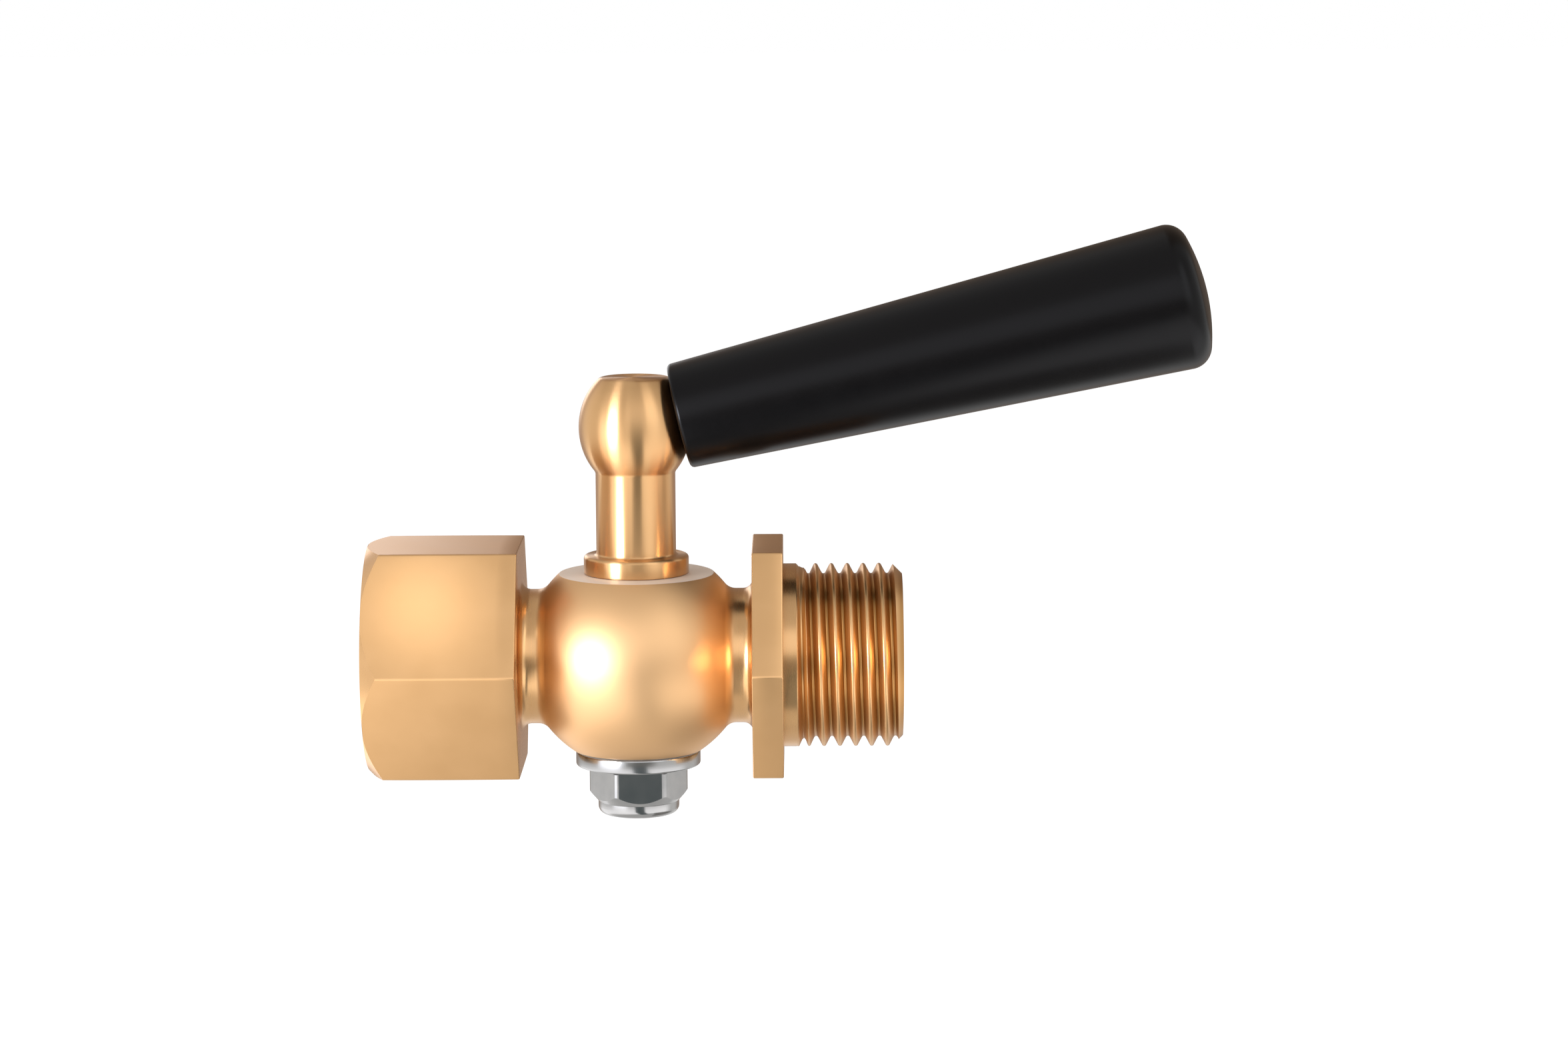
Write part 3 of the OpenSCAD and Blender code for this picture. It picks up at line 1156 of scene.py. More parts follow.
    def _bore_cutter(self, shift: float) -> bpy.types.Object:
        """The tapered plug bore.

        Args:
            shift: Distance from the frame's origin back to the plug axis.

        Returns:
            The solid to cut away.
        """
        low, high = -self.bottom_flat - self.over, self.top_flat + self.over
        slope = 0.5 / self.plug_taper
        ends = [(self.plug_d / 2 + z * slope + self.taper_gap, z) for z in (low, high)]
        return revolve(PLUG, np.array(ends), BORE_COLS).to_object("bore", shift)

    def _passage_cutter(self, shift: float) -> bpy.types.Object:
        """The flow passage, its edge broken where it leaves the spigot.

        Args:
            shift: Distance from the frame's origin back to the plug axis.

        Returns:
            The solid to cut away.
        """
        r, c, end = self.passage_d / 2, self.mouth_chamfer, self.spigot_end
        profile = [(r, -self.socket_face + self.over), (r, end - c), (r + c + self.over, end + self.over)]
        return revolve(FLOW, np.array(profile), SMALL_COLS).to_object("passage", shift)

    def _finishes(self) -> list[bpy.types.Material]:
        """The body's four brass finishes: satin and turned with a painted highlight tint, drawn bar,
        faced with a mill and painted pale as a painted reflection, thread with painted shade in its roots.

        Returns:
            The materials, in the order of their slots.
        """
        middle = crossing(self.seat_x)
        pair = BRASS_LIGHT, BRASS_DARK
        rings, chips = Lay.TURNED_ON_FLOW, Lay.TURNED_ON_PLUG
        # The satin ball has a little paler colour: a painted highlight tint.
        satin = {"satin": 0.465, "satin_reach": (9.6, 11.9), "highlight_tint": BRASS_HIGHLIGHT_TINT}
        turned = CutMetal("brass_turned_flow", *pair, 0.27, rings, middle, **satin)
        bar = CutMetal("brass_bar", *pair, 0.34, Lay.DRAWN, middle, 0.3, 0.0004)
        # The milled flats are painted pale: a painted reflection of the white surroundings.
        pale = FACED_REFLECTION_LIGHT, FACED_REFLECTION_DARK
        faced = CutMetal("brass_faced_painted_reflection", *pale, 0.5, chips, middle, metallic=0.2)
        # The thread turns darker towards its roots: painted shade.
        root_shaded = {"root_shade": BRASS_ROOT_SHADE, "root_shade_reach": (self.pipe.minor + 0.1, self.pipe.major - 0.35)}
        thread = CutMetal("brass_thread", *pair, 0.34, rings, middle, **root_shaded)
        return [turned.build(), bar.build(), faced.build(), thread.build()]

    def _slots(self, mesh: bpy.types.Mesh) -> Array:
        """Finish of each face.

        It is 1 on the hexagons' flats, 2 on the ball's flats and bore, 3 on threads, else 0.

        Args:
            mesh: The finished mesh.

        Returns:
            A slot number for each face.
        """
        middle, normal = face_layout(mesh)
        x = middle[:, 0] + self.seat_x
        out = np.hypot(middle[:, 1], middle[:, 2])
        on_bar = (out > self.hex_af / 2 - self.over) & (np.abs(normal[:, 0]) < self.bar_tilt)
        on_bar &= (np.abs(x) > self.ball_d / 2) & (out > self.pipe.major + self.over)
        from_plug = np.hypot(x, middle[:, 1])
        faced = (np.abs(normal[:, 2]) > self.flat_tilt) & (from_plug < self.ball_d / 2)
        faced &= np.abs(middle[:, 2]) > self.flat_height
        bore = (from_plug < self.plug_d / 2 + self.over) & (out > self.passage_d / 2 + self.seam)
        male = (x > self.thread_start) & (out > self.pipe.minor - self.spigot_chamfer)
        female = (x < self.socket_depth - self.socket_face) & (out < self.pipe.major)
        return np.select([on_bar, faced | bore, male | female], [1, 2, 3], 0)

    def build(self) -> bpy.types.Object:
        """Builds and dresses the body.

        Returns:
            The finished piece.
        """
        shift = self.seat_x
        body = self._core().to_object("body_shell", shift)
        combine(body, self._male(shift), Join.ADD)
        combine(body, self._flat_cutter(self.top_flat, 1, shift, "top"), Join.CUT)
        combine(body, self._flat_cutter(self.bottom_flat, -1, shift, "under"), Join.CUT)
        combine(body, self._bore_cutter(shift), Join.CUT)
        combine(body, self._passage_cutter(shift), Join.CUT)
        combine(body, self._socket_cutter(shift), Join.CUT)
        dress(body, self._finishes(), "body", "valve_body")
        body.data.polygons.foreach_set("material_index", self._slots(body.data).astype(np.int32))
        return body


@dataclass
class Plug:
    """The tapered plug with its collar, stem and ball head, and the square and thread below."""

    seat_x: float
    head_z: float = 26.4
    head_w: float = 12.8
    head_h: float = 14.5
    head_top: float = 5.7
    head_rim: float = 0.8
    head_fillet: float = 0.35
    head_break: float = 0.12
    stem_d: float = 9.1
    stem_fillet: float = 0.3
    collar_d: float = 12.0
    collar_h: float = 2.1
    collar_rim: float = 0.4
    collar_foot: float = 0.12
    collar_z: float = 9.65
    plug_bottom: float = -10.25
    plug_d: float = 10.0
    plug_taper: float = 7.0
    port_d: float = 6.0
    square_w: float = 6.1
    square_turn: float = 4.07
    washer_z: float = -12.55
    tail_end: float = -17.85
    tail_chamfer: float = 0.7
    square_clear: float = 0.2
    hole_d: float = 6.1
    hole_depth: float = 8.0
    tilt: float = 13.2
    grip_start: float = 5.15
    tail: ThreadForm = ThreadForm(1.0, 2.96, 2.4, 30.0, 0.07)

    def _head(self) -> Array:
        """Ellipse of the head from the stem's fillet up to its flat top, the rim rounded.

        Formula: radius a cos(t), height b sin(t) above the head's middle. The rim's arc lies inside
        the ellipse and touches it where its own top, b sin(t) + r (1 - sin(lean)), is level with
        the flat; lean is the slope of the ellipse's normal there.

        Returns:
            The profile as (radius, height) pairs.
        """
        a, b, r = self.head_w / 2, self.head_h / 2, self.head_rim
        low = -math.acos((self.stem_d / 2 + self.head_fillet * 0.5) / a)
        t = np.linspace(0, math.pi / 2, 2000)
        lean = np.arctan2(a * np.sin(t), b * np.cos(t))
        touch = int(np.argmin(np.abs(b * np.sin(t) + r * (1 - np.sin(lean)) - self.head_top)))
        bow = np.linspace(low, t[touch], 44)
        middle = (a * math.cos(t[touch]) - r * math.cos(lean[touch]), self.head_top - r)
        rim = arc(middle, r, math.degrees(lean[touch]), 90, 8)[1:]
        side = np.stack([a * np.cos(bow), b * np.sin(bow)], 1)
        return np.concatenate([side, rim]) + (0.0, self.head_z)

    def _turned(self) -> Shape:
        """Everything turned above the square.

        Returns:
            The closed surface.
        """
        slope = 0.5 / self.plug_taper
        stem_r, collar_r, top = self.stem_d / 2, self.collar_d / 2, self.collar_z + self.collar_h
        f, e, r = self.collar_foot, self.collar_rim, self.stem_fillet
        taper = [(self.plug_d / 2 + z * slope, z) for z in (self.plug_bottom, self.collar_z)]
        foot = arc((collar_r - f, self.collar_z + f), f, -90, 0, 3)
        rim = arc((collar_r - e, top - e), e, 0, 90, 6)
        root = arc((stem_r + r, top + r), r, 270, 180, 5)
        head = self._head()
        first_r, first_z = head[0]
        neck = [(stem_r, first_z - self.head_fillet), ((stem_r + first_r) / 2, first_z - self.head_break)]
        return revolve(PLUG, np.concatenate([taper, foot, rim, root, neck, head]), ROUND_COLS)

    def _square(self) -> Shape:
        """The square drive with turned corners, as one grid round the plug axis.

        Between corners the wall lies at half the width / cos(a), with a the angle from the flat's
        middle.

        Returns:
            The closed surface.
        """
        angle = np.arange(BORE_COLS) * TURN / BORE_COLS
        off = np.mod(angle + TURN / 8, TURN / 4) - TURN / 8
        wall = np.minimum(self.square_w / 2 / np.cos(off), self.square_turn)
        z = np.array([self.washer_z + self.square_clear, self.plug_bottom + self.square_clear])
        return lathe(PLUG, z[:, None] + 0 * angle, wall[None, :] * np.ones((2, 1)), angle)

    def _handle_cutter(self, shift: float) -> bpy.types.Object:
        """The spot face for the grip and the tapped hole for its stud.

        Args:
            shift: Distance from the frame's origin back to the plug axis.

        Returns:
            The solid to cut away.
        """
        hole_r, wide, face = self.hole_d / 2, self.head_w, self.grip_start
        profile = [(hole_r, face - self.hole_depth), (hole_r, face), (wide, face), (wide, face + wide)]
        line = handle_axis(self.head_z, self.tilt)
        return revolve(line, np.array(profile), BORE_COLS).to_object("spot", shift)

    def build(self) -> bpy.types.Object:
        """Builds and dresses the plug.

        Returns:
            The finished piece.
        """
        shift = self.seat_x
        plug = self._turned().to_object("plug_turned", shift)
        combine(plug, self._square().to_object("square", shift), Join.ADD)
        ends = self.tail_end, self.plug_bottom
        combine(plug, screw(PLUG, self.tail, ends, self.tail_chamfer, "tail", shift), Join.ADD)
        port_r = self.port_d / 2
        port = np.array([(port_r, -self.collar_d), (port_r, self.collar_d)])
        combine(plug, revolve(FLOW, port, SCREW_COLS).to_object("port", shift), Join.CUT)
        combine(plug, self._handle_cutter(shift), Join.CUT)
        pair, rings, line = (BRASS_LIGHT, BRASS_DARK), Lay.TURNED_ON_PLUG, crossing(self.seat_x)
        brass = CutMetal("brass_plug", *pair, 0.3, rings, line, 0.12, 0.0003, stretch=0.97)
        return dress(plug, [brass.build()], "lever", "plug")


def handle_axis(height: float, tilt: float) -> Axis:
    """The handle's line: through the head's middle, rising by tilt towards the spigot."""
    t = math.radians(tilt)
    return Axis((0.0, 0.0, height), (math.cos(t), 0.0, math.sin(t)), (0.0, 1.0, 0.0))


@dataclass
class Handle:
    """The moulded grip and the threaded stud inside it."""

    seat_x: float
    head_z: float = 26.4
    tilt: float = 13.2
    grip_start: float = 5.15
    grip_len: float = 61.5
    grip_small: float = 12.1
    grip_large: float = 16.88
    small_round: float = 0.5
    large_round: float = 2.5
    dome_r: float = 23.0
    stud_in_head: float = 7.5
    anchor_d: float = 7.5
    anchor_len: float = 14.0
    groove_w: float = 3.0
    groove_depth: float = 1.0
    gap: float = 0.05
    stud: ThreadForm = ThreadForm(1.0, 3.0, 2.4, 30.0, 0.07)

    def _line(self) -> Axis:
        """The handle's line, starting at the grip's small end.

        Returns:
            The line.
        """
        axis = handle_axis(self.head_z, self.tilt)
        start = np.array(axis.origin) + self.grip_start * np.array(axis.along)
        return Axis(tuple(start), axis.along, axis.side)

    def _anchor(self, gap: float) -> Array:
        """Profile of the stud's anchor with its locking groove.

        Args:
            gap: How much larger it is than the stud's own, all round.

        Returns:
            The profile as (radius, distance) pairs.
        """
        side = (self.anchor_len - self.groove_w) / 2
        r, low = self.anchor_d / 2 + gap, self.anchor_d / 2 - self.groove_depth + gap
        near, far = side + gap, side + self.groove_w - gap
        return np.array([(r, 0), (r, near), (low, near), (low, far), (r, far), (r, self.anchor_len + gap)])

    def _grip_shape(self) -> Shape:
        """The grip: cavity for the anchor, small end, cone, rounded rim and dome.

        The rim's arc touches the cone below and the dome above; the dome is a ball cap whose
        middle lies on the handle's line.

        Returns:
            The closed surface.
        """
        slope = (self.grip_large - self.grip_small) / 2 / self.grip_len
        rim_r = self.grip_large / 2 - self.large_round * (1 + slope)
        dome_c = self.grip_len - self.dome_r
        inner = self.dome_r - self.large_round
        rim_s = dome_c + math.sqrt(inner**2 - rim_r**2)
        dome_a, cone_a = math.degrees(math.acos(rim_r / inner)), -math.degrees(math.atan(slope))
        small_r = self.small_round
        small = arc((self.grip_small / 2 - small_r, small_r), small_r, -90, cone_a, 10)
        rim = arc((rim_r, rim_s), self.large_round, cone_a, dome_a, 14)
        dome = arc((0.0, dome_c), self.dome_r, dome_a, 89.5, 18)[1:]
        share = np.linspace(0, 1, 26)[1:-1, None]
        cone = small[-1] * (1 - share) + rim[0] * share
        cavity = self._anchor(self.gap)[::-1]
        return revolve(self._line(), np.concatenate([cavity, small, cone, rim, dome]), ROUND_COLS)

    def _place(self) -> Place:
        """Where the patterns of grip and stud start, turned to the handle's tilt."""
        start = np.array(self._line().origin) - (self.seat_x, 0, 0)
        return Place(tuple(start), self.tilt)

    def build_grip(self) -> bpy.types.Object:
        """Builds and dresses the grip.

        Returns:
            The finished piece.
        """
        grip = self._grip_shape().to_object("grip_moulding", self.seat_x)
        black = Moulding("phenolic_black", *PHENOLIC, 0.3, self._place(), 0.16)
        return dress(grip, [black.build()], "lever", "handle_grip")

    def build_stud(self) -> bpy.types.Object:
        """Builds and dresses the stud: the anchor in the grip and the thread in the head.

        Returns:
            The finished piece.
        """
        line, form, shift = self._line(), self.stud, self.seat_x
        ends = -self.stud_in_head, 0.0
        stud = screw(line, form, ends, form.major - form.minor, "stud_turned", shift)
        combine(stud, revolve(line, self._anchor(0.0), SCREW_COLS).to_object("anchor", shift), Join.ADD)
        steel = CutMetal("steel_stud", STEEL_LIGHT, STEEL_DARK, 0.25, Lay.DRAWN, self._place())
        return dress(stud, [steel.build()], "lever", "handle_stud")


@dataclass
class Fixings:
    """The washer, the locking nut and its nylon ring under the body."""

    seat_x: float
    washer_z: float = -12.55
    washer_d: float = 14.3
    washer_t: float = 1.75
    washer_edge: float = 0.25
    upper_edge: float = 0.35
    washer_cols: int = 128
    hole_corner: float = 0.2
    hole_w: float = 6.22
    nut_af: float = 10.0
    nut_h: float = 5.7
    nut_shoulder: float = 4.2
    nut_collar_d: float = 9.3
    nut_round: float = 0.9
    nut_cone: float = 1.3
    nut_top: float = 0.5
    nut_turn: float = 4.6
    nut_corner: float = 0.7
    nut_crown: float = 0.03
    nut_cols: int = 180
    hole_d: float = 6.1
    ring_d: float = 8.0
    ring_h: float = 1.6
    rim_t: float = 0.5

    def build_washer(self) -> bpy.types.Object:
        """Builds the washer: a disc with rounded edges and a square hole.

        Returns:
            The finished piece.
        """
        r, e, z, t = self.washer_d / 2, self.washer_edge, self.washer_z, self.washer_t
        upper = self.upper_edge
        low = arc((r - e, z + e), e, -90, 0, 5)
        high = arc((r - upper, z + t - upper), upper, 0, 90, 5)
        profile = np.concatenate([low, high])
        washer = revolve(PLUG, profile, self.washer_cols).to_object("washer_disc", self.seat_x)
        angle = np.arange(BORE_COLS) * TURN / BORE_COLS
        wall = polygon_radius(angle, 4, self.hole_w / 2, self.hole_corner)
        ends = np.array([z - 1, z + t + 1])[:, None] + 0 * angle
        hole = lathe(PLUG, ends, wall[None, :] * np.ones((2, 1)), angle)
        combine(washer, hole.to_object("hole", self.seat_x), Join.CUT)
        pair, rings, line = (STEEL_LIGHT, STEEL_DARK), Lay.TURNED_ON_PLUG, crossing(self.seat_x)
        steel = CutMetal("steel_washer", *pair, 0.2, rings, line, 0.2, 0.0008)
        return dress(washer, [steel.build()], "lever", "thrust_washer")

    def build_nut(self) -> bpy.types.Object:
        """Builds the nut: a turned blank trimmed by a hexagon, with the ring's seat inside.

        Returns:
            The finished piece.
        """
        base, corner_r = self.washer_z - self.nut_h, self.nut_af / math.sqrt(3)
        step = self.nut_h - self.nut_shoulder
        collar_r, e = self.nut_collar_d / 2, self.nut_round
        wide, cols = corner_r + 0.01, self.nut_cols
        rim = arc((collar_r - e, base + e), e, -90, 0, 9)
        cone = [(collar_r, base + step), (wide, base + step + self.nut_cone)]
        top = [(wide, base + self.nut_h - self.nut_top), (self.nut_af / 2, base + self.nut_h)]
        outside = np.concatenate([rim, cone, top])
        nut = revolve(PLUG, outside, ROUND_COLS).to_object("nut_plated", self.seat_x)
        angle = np.arange(cols) * TURN / cols
        turned = angle - math.radians(self.nut_turn + 30)
        wall = polygon_radius(turned, 6, self.nut_af / 2, self.nut_corner, self.nut_crown)
        ends = np.array([base - 1, base + self.nut_h + 1])[:, None] + 0 * angle
        bar = lathe(PLUG, ends, wall[None, :] * np.ones((2, 1)), angle)
        combine(nut, bar.to_object("bar", self.seat_x), Join.KEEP)
        hole_r, ring_r = self.hole_d / 2, self.ring_d / 2
        low, high = base + self.rim_t, base + self.rim_t + self.ring_h
        seat = [(hole_r, low), (ring_r, low), (ring_r, high), (hole_r, high)]
        inside = np.array([(hole_r, base - 1), *seat, (hole_r, base + self.nut_h + 1)])
        combine(nut, revolve(PLUG, inside, SMALL_COLS).to_object("inside", self.seat_x), Join.CUT)
        pair, rings, line = (STEEL_LIGHT, STEEL_DARK), Lay.TURNED_ON_PLUG, crossing(self.seat_x)
        steel = CutMetal("steel_nut", *pair, 0.14, rings, line, 0.25, 0.0004, 2.0)
        return dress(nut, [steel.build()], "lever", "lock_nut")

    def build_ring(self) -> bpy.types.Object:
        """Builds the nylon ring in the nut's collar.

        Returns:
            The finished piece.
        """
        base = self.washer_z - self.nut_h + self.rim_t
        outer = self.ring_d / 2
        disc = np.array([(outer, base), (outer, base + self.ring_h)])
        ring = revolve(PLUG, disc, SMALL_COLS).to_object("nylon_ring", self.seat_x)
        hole_r = self.hole_d / 2
        hole = np.array([(hole_r, base - 1), (hole_r, base + self.ring_h + 1)])
        combine(ring, revolve(PLUG, hole, SMALL_COLS).to_object("hole", self.seat_x), Join.CUT)
        nylon = Moulding("nylon_natural", *NYLON, 0.42, crossing(self.seat_x), 0.5, 1.0, 0.002)
        return dress(ring, [nylon.build()], "lever", "nut_insert")


@dataclass(frozen=True)
class Field:
    """A soft-edged patch of the studio, in degrees as seen from the surround's middle.

    Azimuth goes from the front towards the spigot. The soft widths are those of the first and
    the last azimuth and of the lower and the upper edge.
    """

    azimuth: Span
    height: Span
    soft: tuple[float, float, float, float]
    colour: Triple

    def _between(self, graph: Graph, value: Wire, ends: Span, soft: Sequence[float]) -> Wire:
        """1 between two ends, falling to 0 over a soft width inside each end."""
        rise = graph.ease(value, ends[0], ends[0] + soft[0])
        return rise * graph.ease(value, ends[1], ends[1] - soft[1])

    def mask(self, graph: Graph, azimuth: Wire, height: Wire) -> Wire:
        """How much of the patch is seen in a direction, from 0 to 1.

        Args:
            graph: The graph that takes the nodes.
            azimuth: Azimuth of the direction, in degrees.
            height: Its height, in degrees.

        Returns:
            The share.
        """
        middle = sum(self.azimuth) / 2
        ends = {1: middle + 180, 2: middle - 180}
        turned = graph.out("ShaderNodeMath", {"operation": "WRAP"}, {0: azimuth, **ends})
        sides = self._between(graph, turned, self.azimuth, self.soft[:2])
        return sides * self._between(graph, height, self.height, self.soft[2:])


@dataclass(frozen=True)
class Surround:
    """What shiny surfaces mirror: a closed drum painted with soft light and dark fields.

    The fields' directions are those seen from a point of the flow axis at middle_x.
    """

    fields: tuple[Field, ...]
    middle_x: float
    radius: float
    low: float
    high: float
    plain: float = 1.0
    cols: int = 96

    def _colour(self, graph: Graph, shift: float) -> Wire:
        """Plain white with each field laid over the ones before it.

        Args:
            graph: The graph that takes the nodes.
            shift: Distance from the frame's origin back to the plug axis.

        Returns:
            The colour in the direction of each point of the drum.
        """
        _, x, y, z = Finish().coordinates(graph, Place((self.middle_x - shift, 0.0, 0.0)))
        degrees = 180 / math.pi
        azimuth = degrees * graph.out("ShaderNodeMath", {"operation": "ARCTAN2"}, {0: x, 1: 0.0 - y})
        level = (x * x + y * y) ** 0.5
        height = degrees * graph.out("ShaderNodeMath", {"operation": "ARCTAN2"}, {0: z, 1: level})
        colour: Any = (self.plain,) * 3 + (1.0,)
        for field in self.fields:
            colour = graph.mix(field.mask(graph, azimuth, height), colour, rgba(field.colour))
        return colour

    def build(self, shift: float) -> bpy.types.Object:
        """Builds the drum as stage, seen by reflected rays only.

        Args:
            shift: Distance from the frame's origin back to the plug axis.

        Returns:
            The drum.
        """
        profile = np.array([(self.radius, self.low), (self.radius, self.high)])
        made = revolve(PLUG, profile, self.cols).to_object("surround", shift)
        material = bpy.data.materials.new("surround_fields")
        material.use_nodes = True
        graph = Graph(material.node_tree)
        inputs = {"Color": self._colour(graph, shift), "Strength": 1.0}
        glow = graph.node("ShaderNodeEmission", inputs=inputs)
        graph.node("ShaderNodeOutputMaterial", inputs={"Surface": glow.outputs[0]})
        made.data.materials.append(material)
        made.visible_camera = False
        made.visible_diffuse = False
        made.visible_transmission = False
        made.visible_shadow = False
        made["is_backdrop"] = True
        return made


@dataclass(frozen=True)
class Lamp:
    """A soft rectangular lamp aimed at a point."""

    name: str
    azimuth: float
    height: float
    distance: float
    size: Span
    level: float
    aim: Triple = (0.0, 0.0, 5.0)
    spread: float = 180.0
    colour: Triple = (1.0, 1.0, 1.0)

    def build(self, shift: float) -> bpy.types.Object:
        """Builds the lamp.

        Its power is level * pi * area, so that a mirror shows the lamp at the given level.

        Args:
            shift: Distance from the frame's origin back to the plug axis.

        Returns:
            The lamp.
        """
        a, h = math.radians(self.azimuth), math.radians(self.height)
        away = np.array((math.sin(a) * math.cos(h), -math.cos(a) * math.cos(h), math.sin(h)))
        spot = np.array(self.aim) + away * self.distance
        side = np.cross((0.0, 0.0, 1.0), away)
        side /= np.linalg.norm(side)
        turn = Matrix(np.stack([side, np.cross(away, side), away], 1).tolist())
        light = bpy.data.lights.new(self.name, "AREA")
        light.shape = "RECTANGLE"
        light.color = self.colour
        light.size, light.size_y = (s * MM for s in self.size)
        light.energy = self.level * math.pi * light.size * light.size_y
        light.spread = math.radians(self.spread)
        made = bpy.data.objects.new(self.name, light)
        made.matrix_world = Matrix.Translation(((spot - (shift, 0, 0)) * MM).tolist()) @ turn.to_4x4()
        bpy.context.scene.collection.objects.link(made)
        return made


@dataclass
class Studio:
    """Floor, white surroundings, two lamps and the light that only shiny surfaces mirror."""

    seat_x: float
    floor_drop: float = 78.0
    floor_half: float = 4000.0
    floor_tone: float = 0.85
    floor_glow: float = 0.4
    plain_level: float = 0.75

    def _seen(self, graph: Graph) -> Wire:
        """1 for rays from the camera, from shiny surfaces and through glass, else 0.

        Args:
            graph: The graph that takes the nodes.

        Returns:
            The share.
        """
        path = graph.node("ShaderNodeLightPath")
        kinds = ("Is Camera Ray", "Is Glossy Ray", "Is Transmission Ray")
        camera, glossy, through = (Wire(graph, path.outputs[kind]) for kind in kinds)
        settings = {"operation": "ADD", "use_clamp": True}
        return graph.out("ShaderNodeMath", settings, {0: camera + glossy, 1: through})

    def build_world(self) -> None:
        """White where it is seen, at a plain level where it only lights."""
        world = bpy.data.worlds.new("studio_white")
        world.use_nodes = True
        graph = Graph(world.node_tree)
        level = self.plain_level + (1.0 - self.plain_level) * self._seen(graph)
        back = graph.node("ShaderNodeBackground", inputs={"Color": (1.0, 1.0, 1.0, 1.0), "Strength": level})
        graph.node("ShaderNodeOutputWorld", inputs={"Surface": back.outputs[0]})
        bpy.context.scene.world = world

    def build_floor(self) -> bpy.types.Object:
        """A plain white floor a little below the part, so that only a soft shadow reaches it.

        Returns:
            The floor.
        """
        h, z = self.floor_half, -self.floor_drop
        points = np.array([(-h, -h, z), (h, -h, z), (h, h, z), (-h, h, z)])
        floor = Shape(points, np.array([[0, 1, 2, 3]]), np.empty((0, 3), int)).to_object("floor", 0.0)
        material = bpy.data.materials.new("floor_white")
        material.use_nodes = True
        graph = Graph(material.node_tree)
        tone = rgba((self.floor_tone,) * 3)
        paper = graph.node("ShaderNodeBsdfDiffuse", inputs={"Color": tone})
        strength = self.floor_glow * self._seen(graph)
        glow = graph.node("ShaderNodeEmission", inputs={"Color": (1.0, 1.0, 1.0, 1.0), "Strength": strength})
        both = graph.node("ShaderNodeAddShader", inputs={0: paper.outputs[0], 1: glow.outputs[0]})
        graph.node("ShaderNodeOutputMaterial", inputs={"Surface": both.outputs[0]})
        floor.data.materials.append(material)
        floor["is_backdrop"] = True
        return floor

    def _fields(self) -> tuple[Field, ...]:
        """The light and dark fields that the metal mirrors, each laid over those before it.

        Returns:
            The fields.
        """
        every = (-200.0, 200.0)
        return (
            # All round: dimmer above, and the floor.
            Field(every, (27, 200), (1, 1, 14, 1), (0.68, 0.68, 0.68)),
            Field(every, (-200, -48), (1, 1, 1, 10), (0.8, 0.8, 0.8)),
            # Dim at the back, with a lamp that lights the hexagons' upper flats.
            Field((122, 242), (-35, 60), (35, 35, 15, 20), (0.45, 0.37, 0.32)),
            Field((186, 222), (2, 26), (8, 12, 3, 8), (1.85, 1.85, 1.9)),
            # Bright floor in front and at the sides, a soft box above the front and one right.
            Field((-150, 110), (-49, -13), (30, 30, 9, 6), (1.9, 1.9, 1.95)),
            Field((-26, 26), (9, 46), (9, 9, 5, 10), (1.4, 1.42, 1.5)),
            Field((20, 60), (6, 64), (8, 12, 8, 16), (1.9, 1.95, 2.05)),
            # Dark: the floor on the right, the room in front, a strip below it.
            Field((34, 150), (-90, -38), (14, 30, 1, 10), (0.36, 0.35, 0.34)),
            Field((-14, 42), (-14, 10), (9, 24, 5, 5), (0.3, 0.29, 0.27)),
            Field((-25, 20), (-14, 0), (5, 20, 5, 4), (0.28, 0.27, 0.25)),
            Field((-16, 17), (-62, -8), (6, 6, 8, 5), (0.18, 0.21, 0.22)),
            # The main soft box on the left.
            Field((-84, -26), (-18, 17), (17, 17, 6, 10), (2.65, 2.7, 2.9)),
            # Darker overhead, and dark at the back on the right.
            Field((-90, 90), (76, 120), (20, 20, 8, 1), (0.55, 0.55, 0.55)),
            Field((118, 187), (-4, 200), (15, 4, 4, 1), (0.3, 0.23, 0.18)),
        )

    def _lamps(self) -> tuple[Lamp, ...]:
        """The main lamp on the left and a small one on the female hexagon's upper corner.

        Returns:
            The lamps.
        """
        key = Lamp(
            "key_lamp",
            azimuth=-44.5,
            height=3.0,
            distance=420.0,
            size=(145.0, 130.0),
            level=31.0,
            colour=(0.97, 1.0, 1.12),
        )
        small = Lamp(
            "hexagon_lamp",
            azimuth=-7.8,
            height=50.5,
            distance=45.0,
            size=(10.0, 10.0),
            level=0.36,
            aim=(-23.8, -10.6, 7.7),
            spread=60.0,
        )
        return key, small

    def build(self) -> None:
        """Builds the whole studio."""
        self.build_world()
        self.build_floor()
        for lamp in self._lamps():
            lamp.build(self.seat_x)
        low = 2.0 - self.floor_drop
        drum = Surround(self._fields(), middle_x=19.0, radius=450.0, low=low, high=700.0)
        drum.build(self.seat_x)


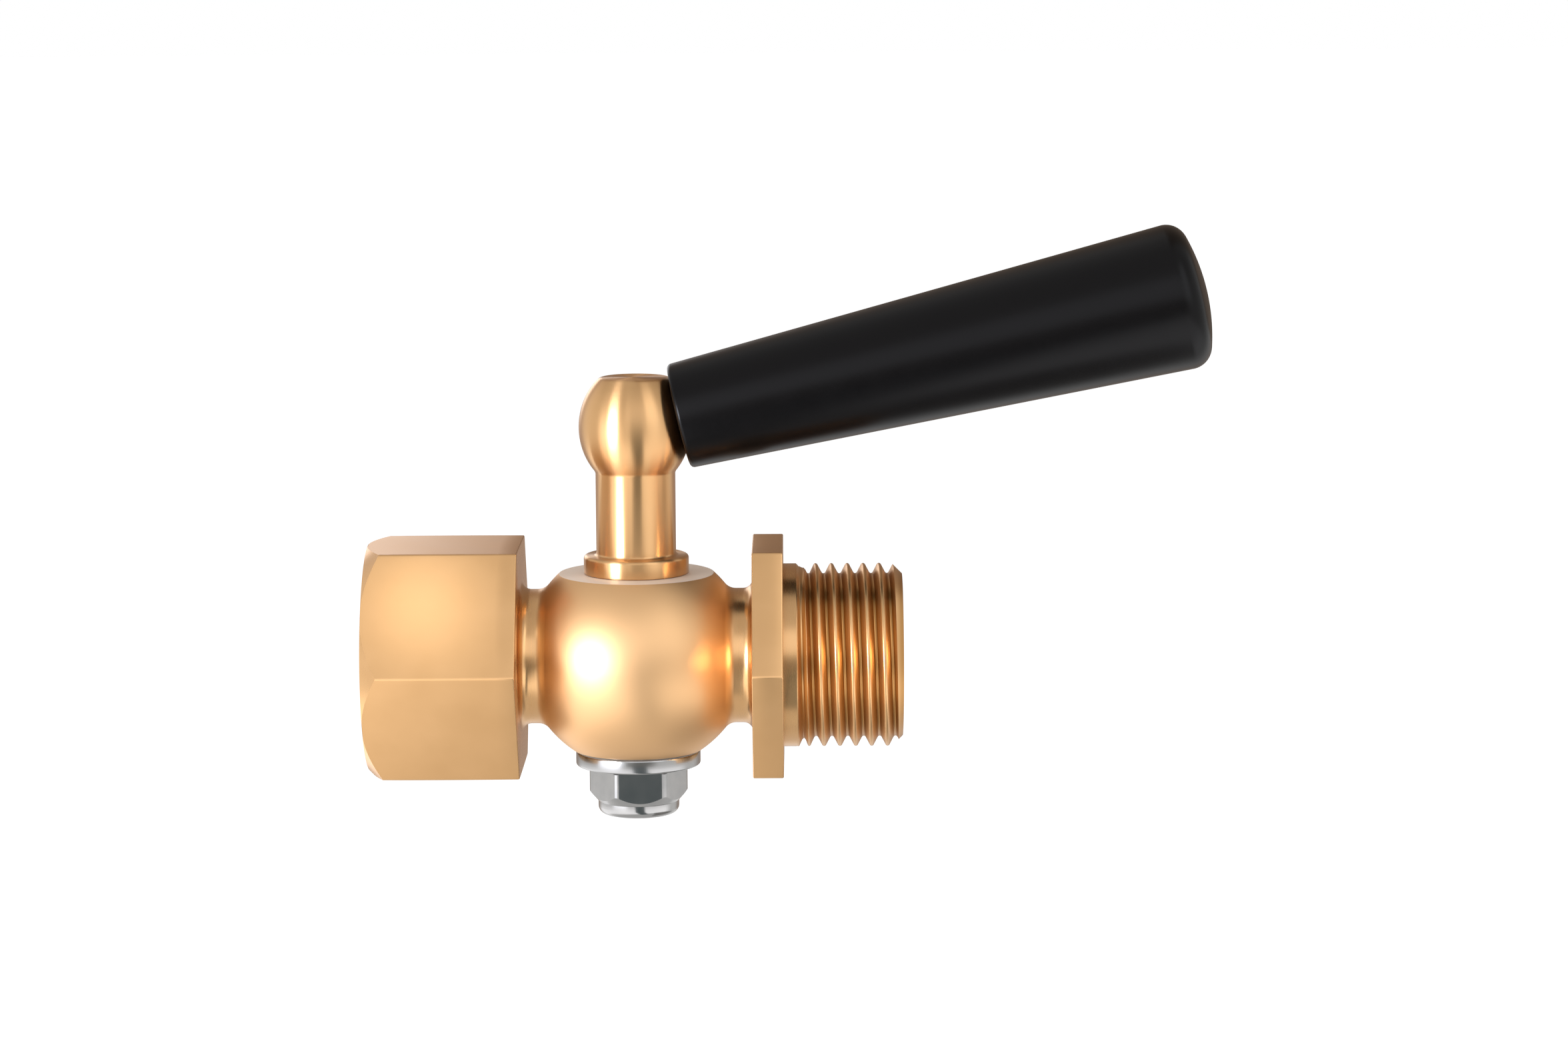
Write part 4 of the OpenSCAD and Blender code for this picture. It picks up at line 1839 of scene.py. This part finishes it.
@dataclass(frozen=True)
class View:
    """The camera: its place from the ball's middle, its turn and its lens."""

    place: Triple = (19.238, -501.374, 87.05)
    yaw: float = -0.00467
    pitch: float = -0.14213
    roll: float = -0.00617
    lens: float = 101.922
    sensor: float = 36.0
    clip: Span = (0.01, 50.0)

    def build(self, shift: float) -> bpy.types.Object:
        """Builds the camera and makes it the scene's own.

        It looks along (sin yaw cos pitch, cos yaw cos pitch, sin pitch), turned by roll about
        that line; the angles are in radians.

        Args:
            shift: Distance from the frame's origin back to the plug axis.

        Returns:
            The camera.
        """
        cy, sy = math.cos(self.yaw), math.sin(self.yaw)
        cp, sp = math.cos(self.pitch), math.sin(self.pitch)
        ahead = np.array((sy * cp, cy * cp, sp))
        level = np.array((cy, -sy, 0.0))
        upright = np.cross(level, ahead)
        right = math.cos(self.roll) * level + math.sin(self.roll) * upright
        top = math.cos(self.roll) * upright - math.sin(self.roll) * level
        camera = bpy.data.cameras.new("view")
        camera.lens = self.lens
        camera.sensor_width = self.sensor
        camera.sensor_fit = "HORIZONTAL"
        camera.clip_start, camera.clip_end = self.clip
        made = bpy.data.objects.new("view", camera)
        spot = (np.array(self.place) - (shift, 0, 0)) * MM
        turn = Matrix(np.stack([right, top, -ahead], 1).tolist())
        made.matrix_world = Matrix.Translation(spot.tolist()) @ turn.to_4x4()
        bpy.context.scene.collection.objects.link(made)
        bpy.context.scene.camera = made
        return made


def report(piece: bpy.types.Object) -> None:
    """Logs one finished piece.

    Args:
        piece: The piece.
    """
    mesh = piece.data
    mesh.calc_loop_triangles()
    LOG.info("%s: %d points, %d triangles", piece.name, len(mesh.vertices), len(mesh.loop_triangles))


def main() -> Any:
    """Loads the frame, builds the pieces and the studio.

    Returns:
        The CAD box.
    """
    logging.basicConfig(level=logging.INFO, format="%(name)s: %(message)s")
    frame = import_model()
    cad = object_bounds()
    low, high = (np.array(c) * MM_PER_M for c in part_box("valve_body"))
    seat_x = -frame["joints"][0]["pos_m"][0] * MM_PER_M
    scene = bpy.context.scene
    scene.view_settings.view_transform = "Standard"
    View().build(seat_x)
    Studio(seat_x).build()
    body = Body(seat_x, -low[0] - seat_x, high[0] + seat_x, high[2] - low[2])
    report(body.build())
    report(Plug(seat_x).build())
    handle = Handle(seat_x)
    report(handle.build_grip())
    report(handle.build_stud())
    fixings = Fixings(seat_x)
    report(fixings.build_washer())
    report(fixings.build_nut())
    report(fixings.build_ring())
    return cad


if __name__ == "__main__":
    cad_box = main()
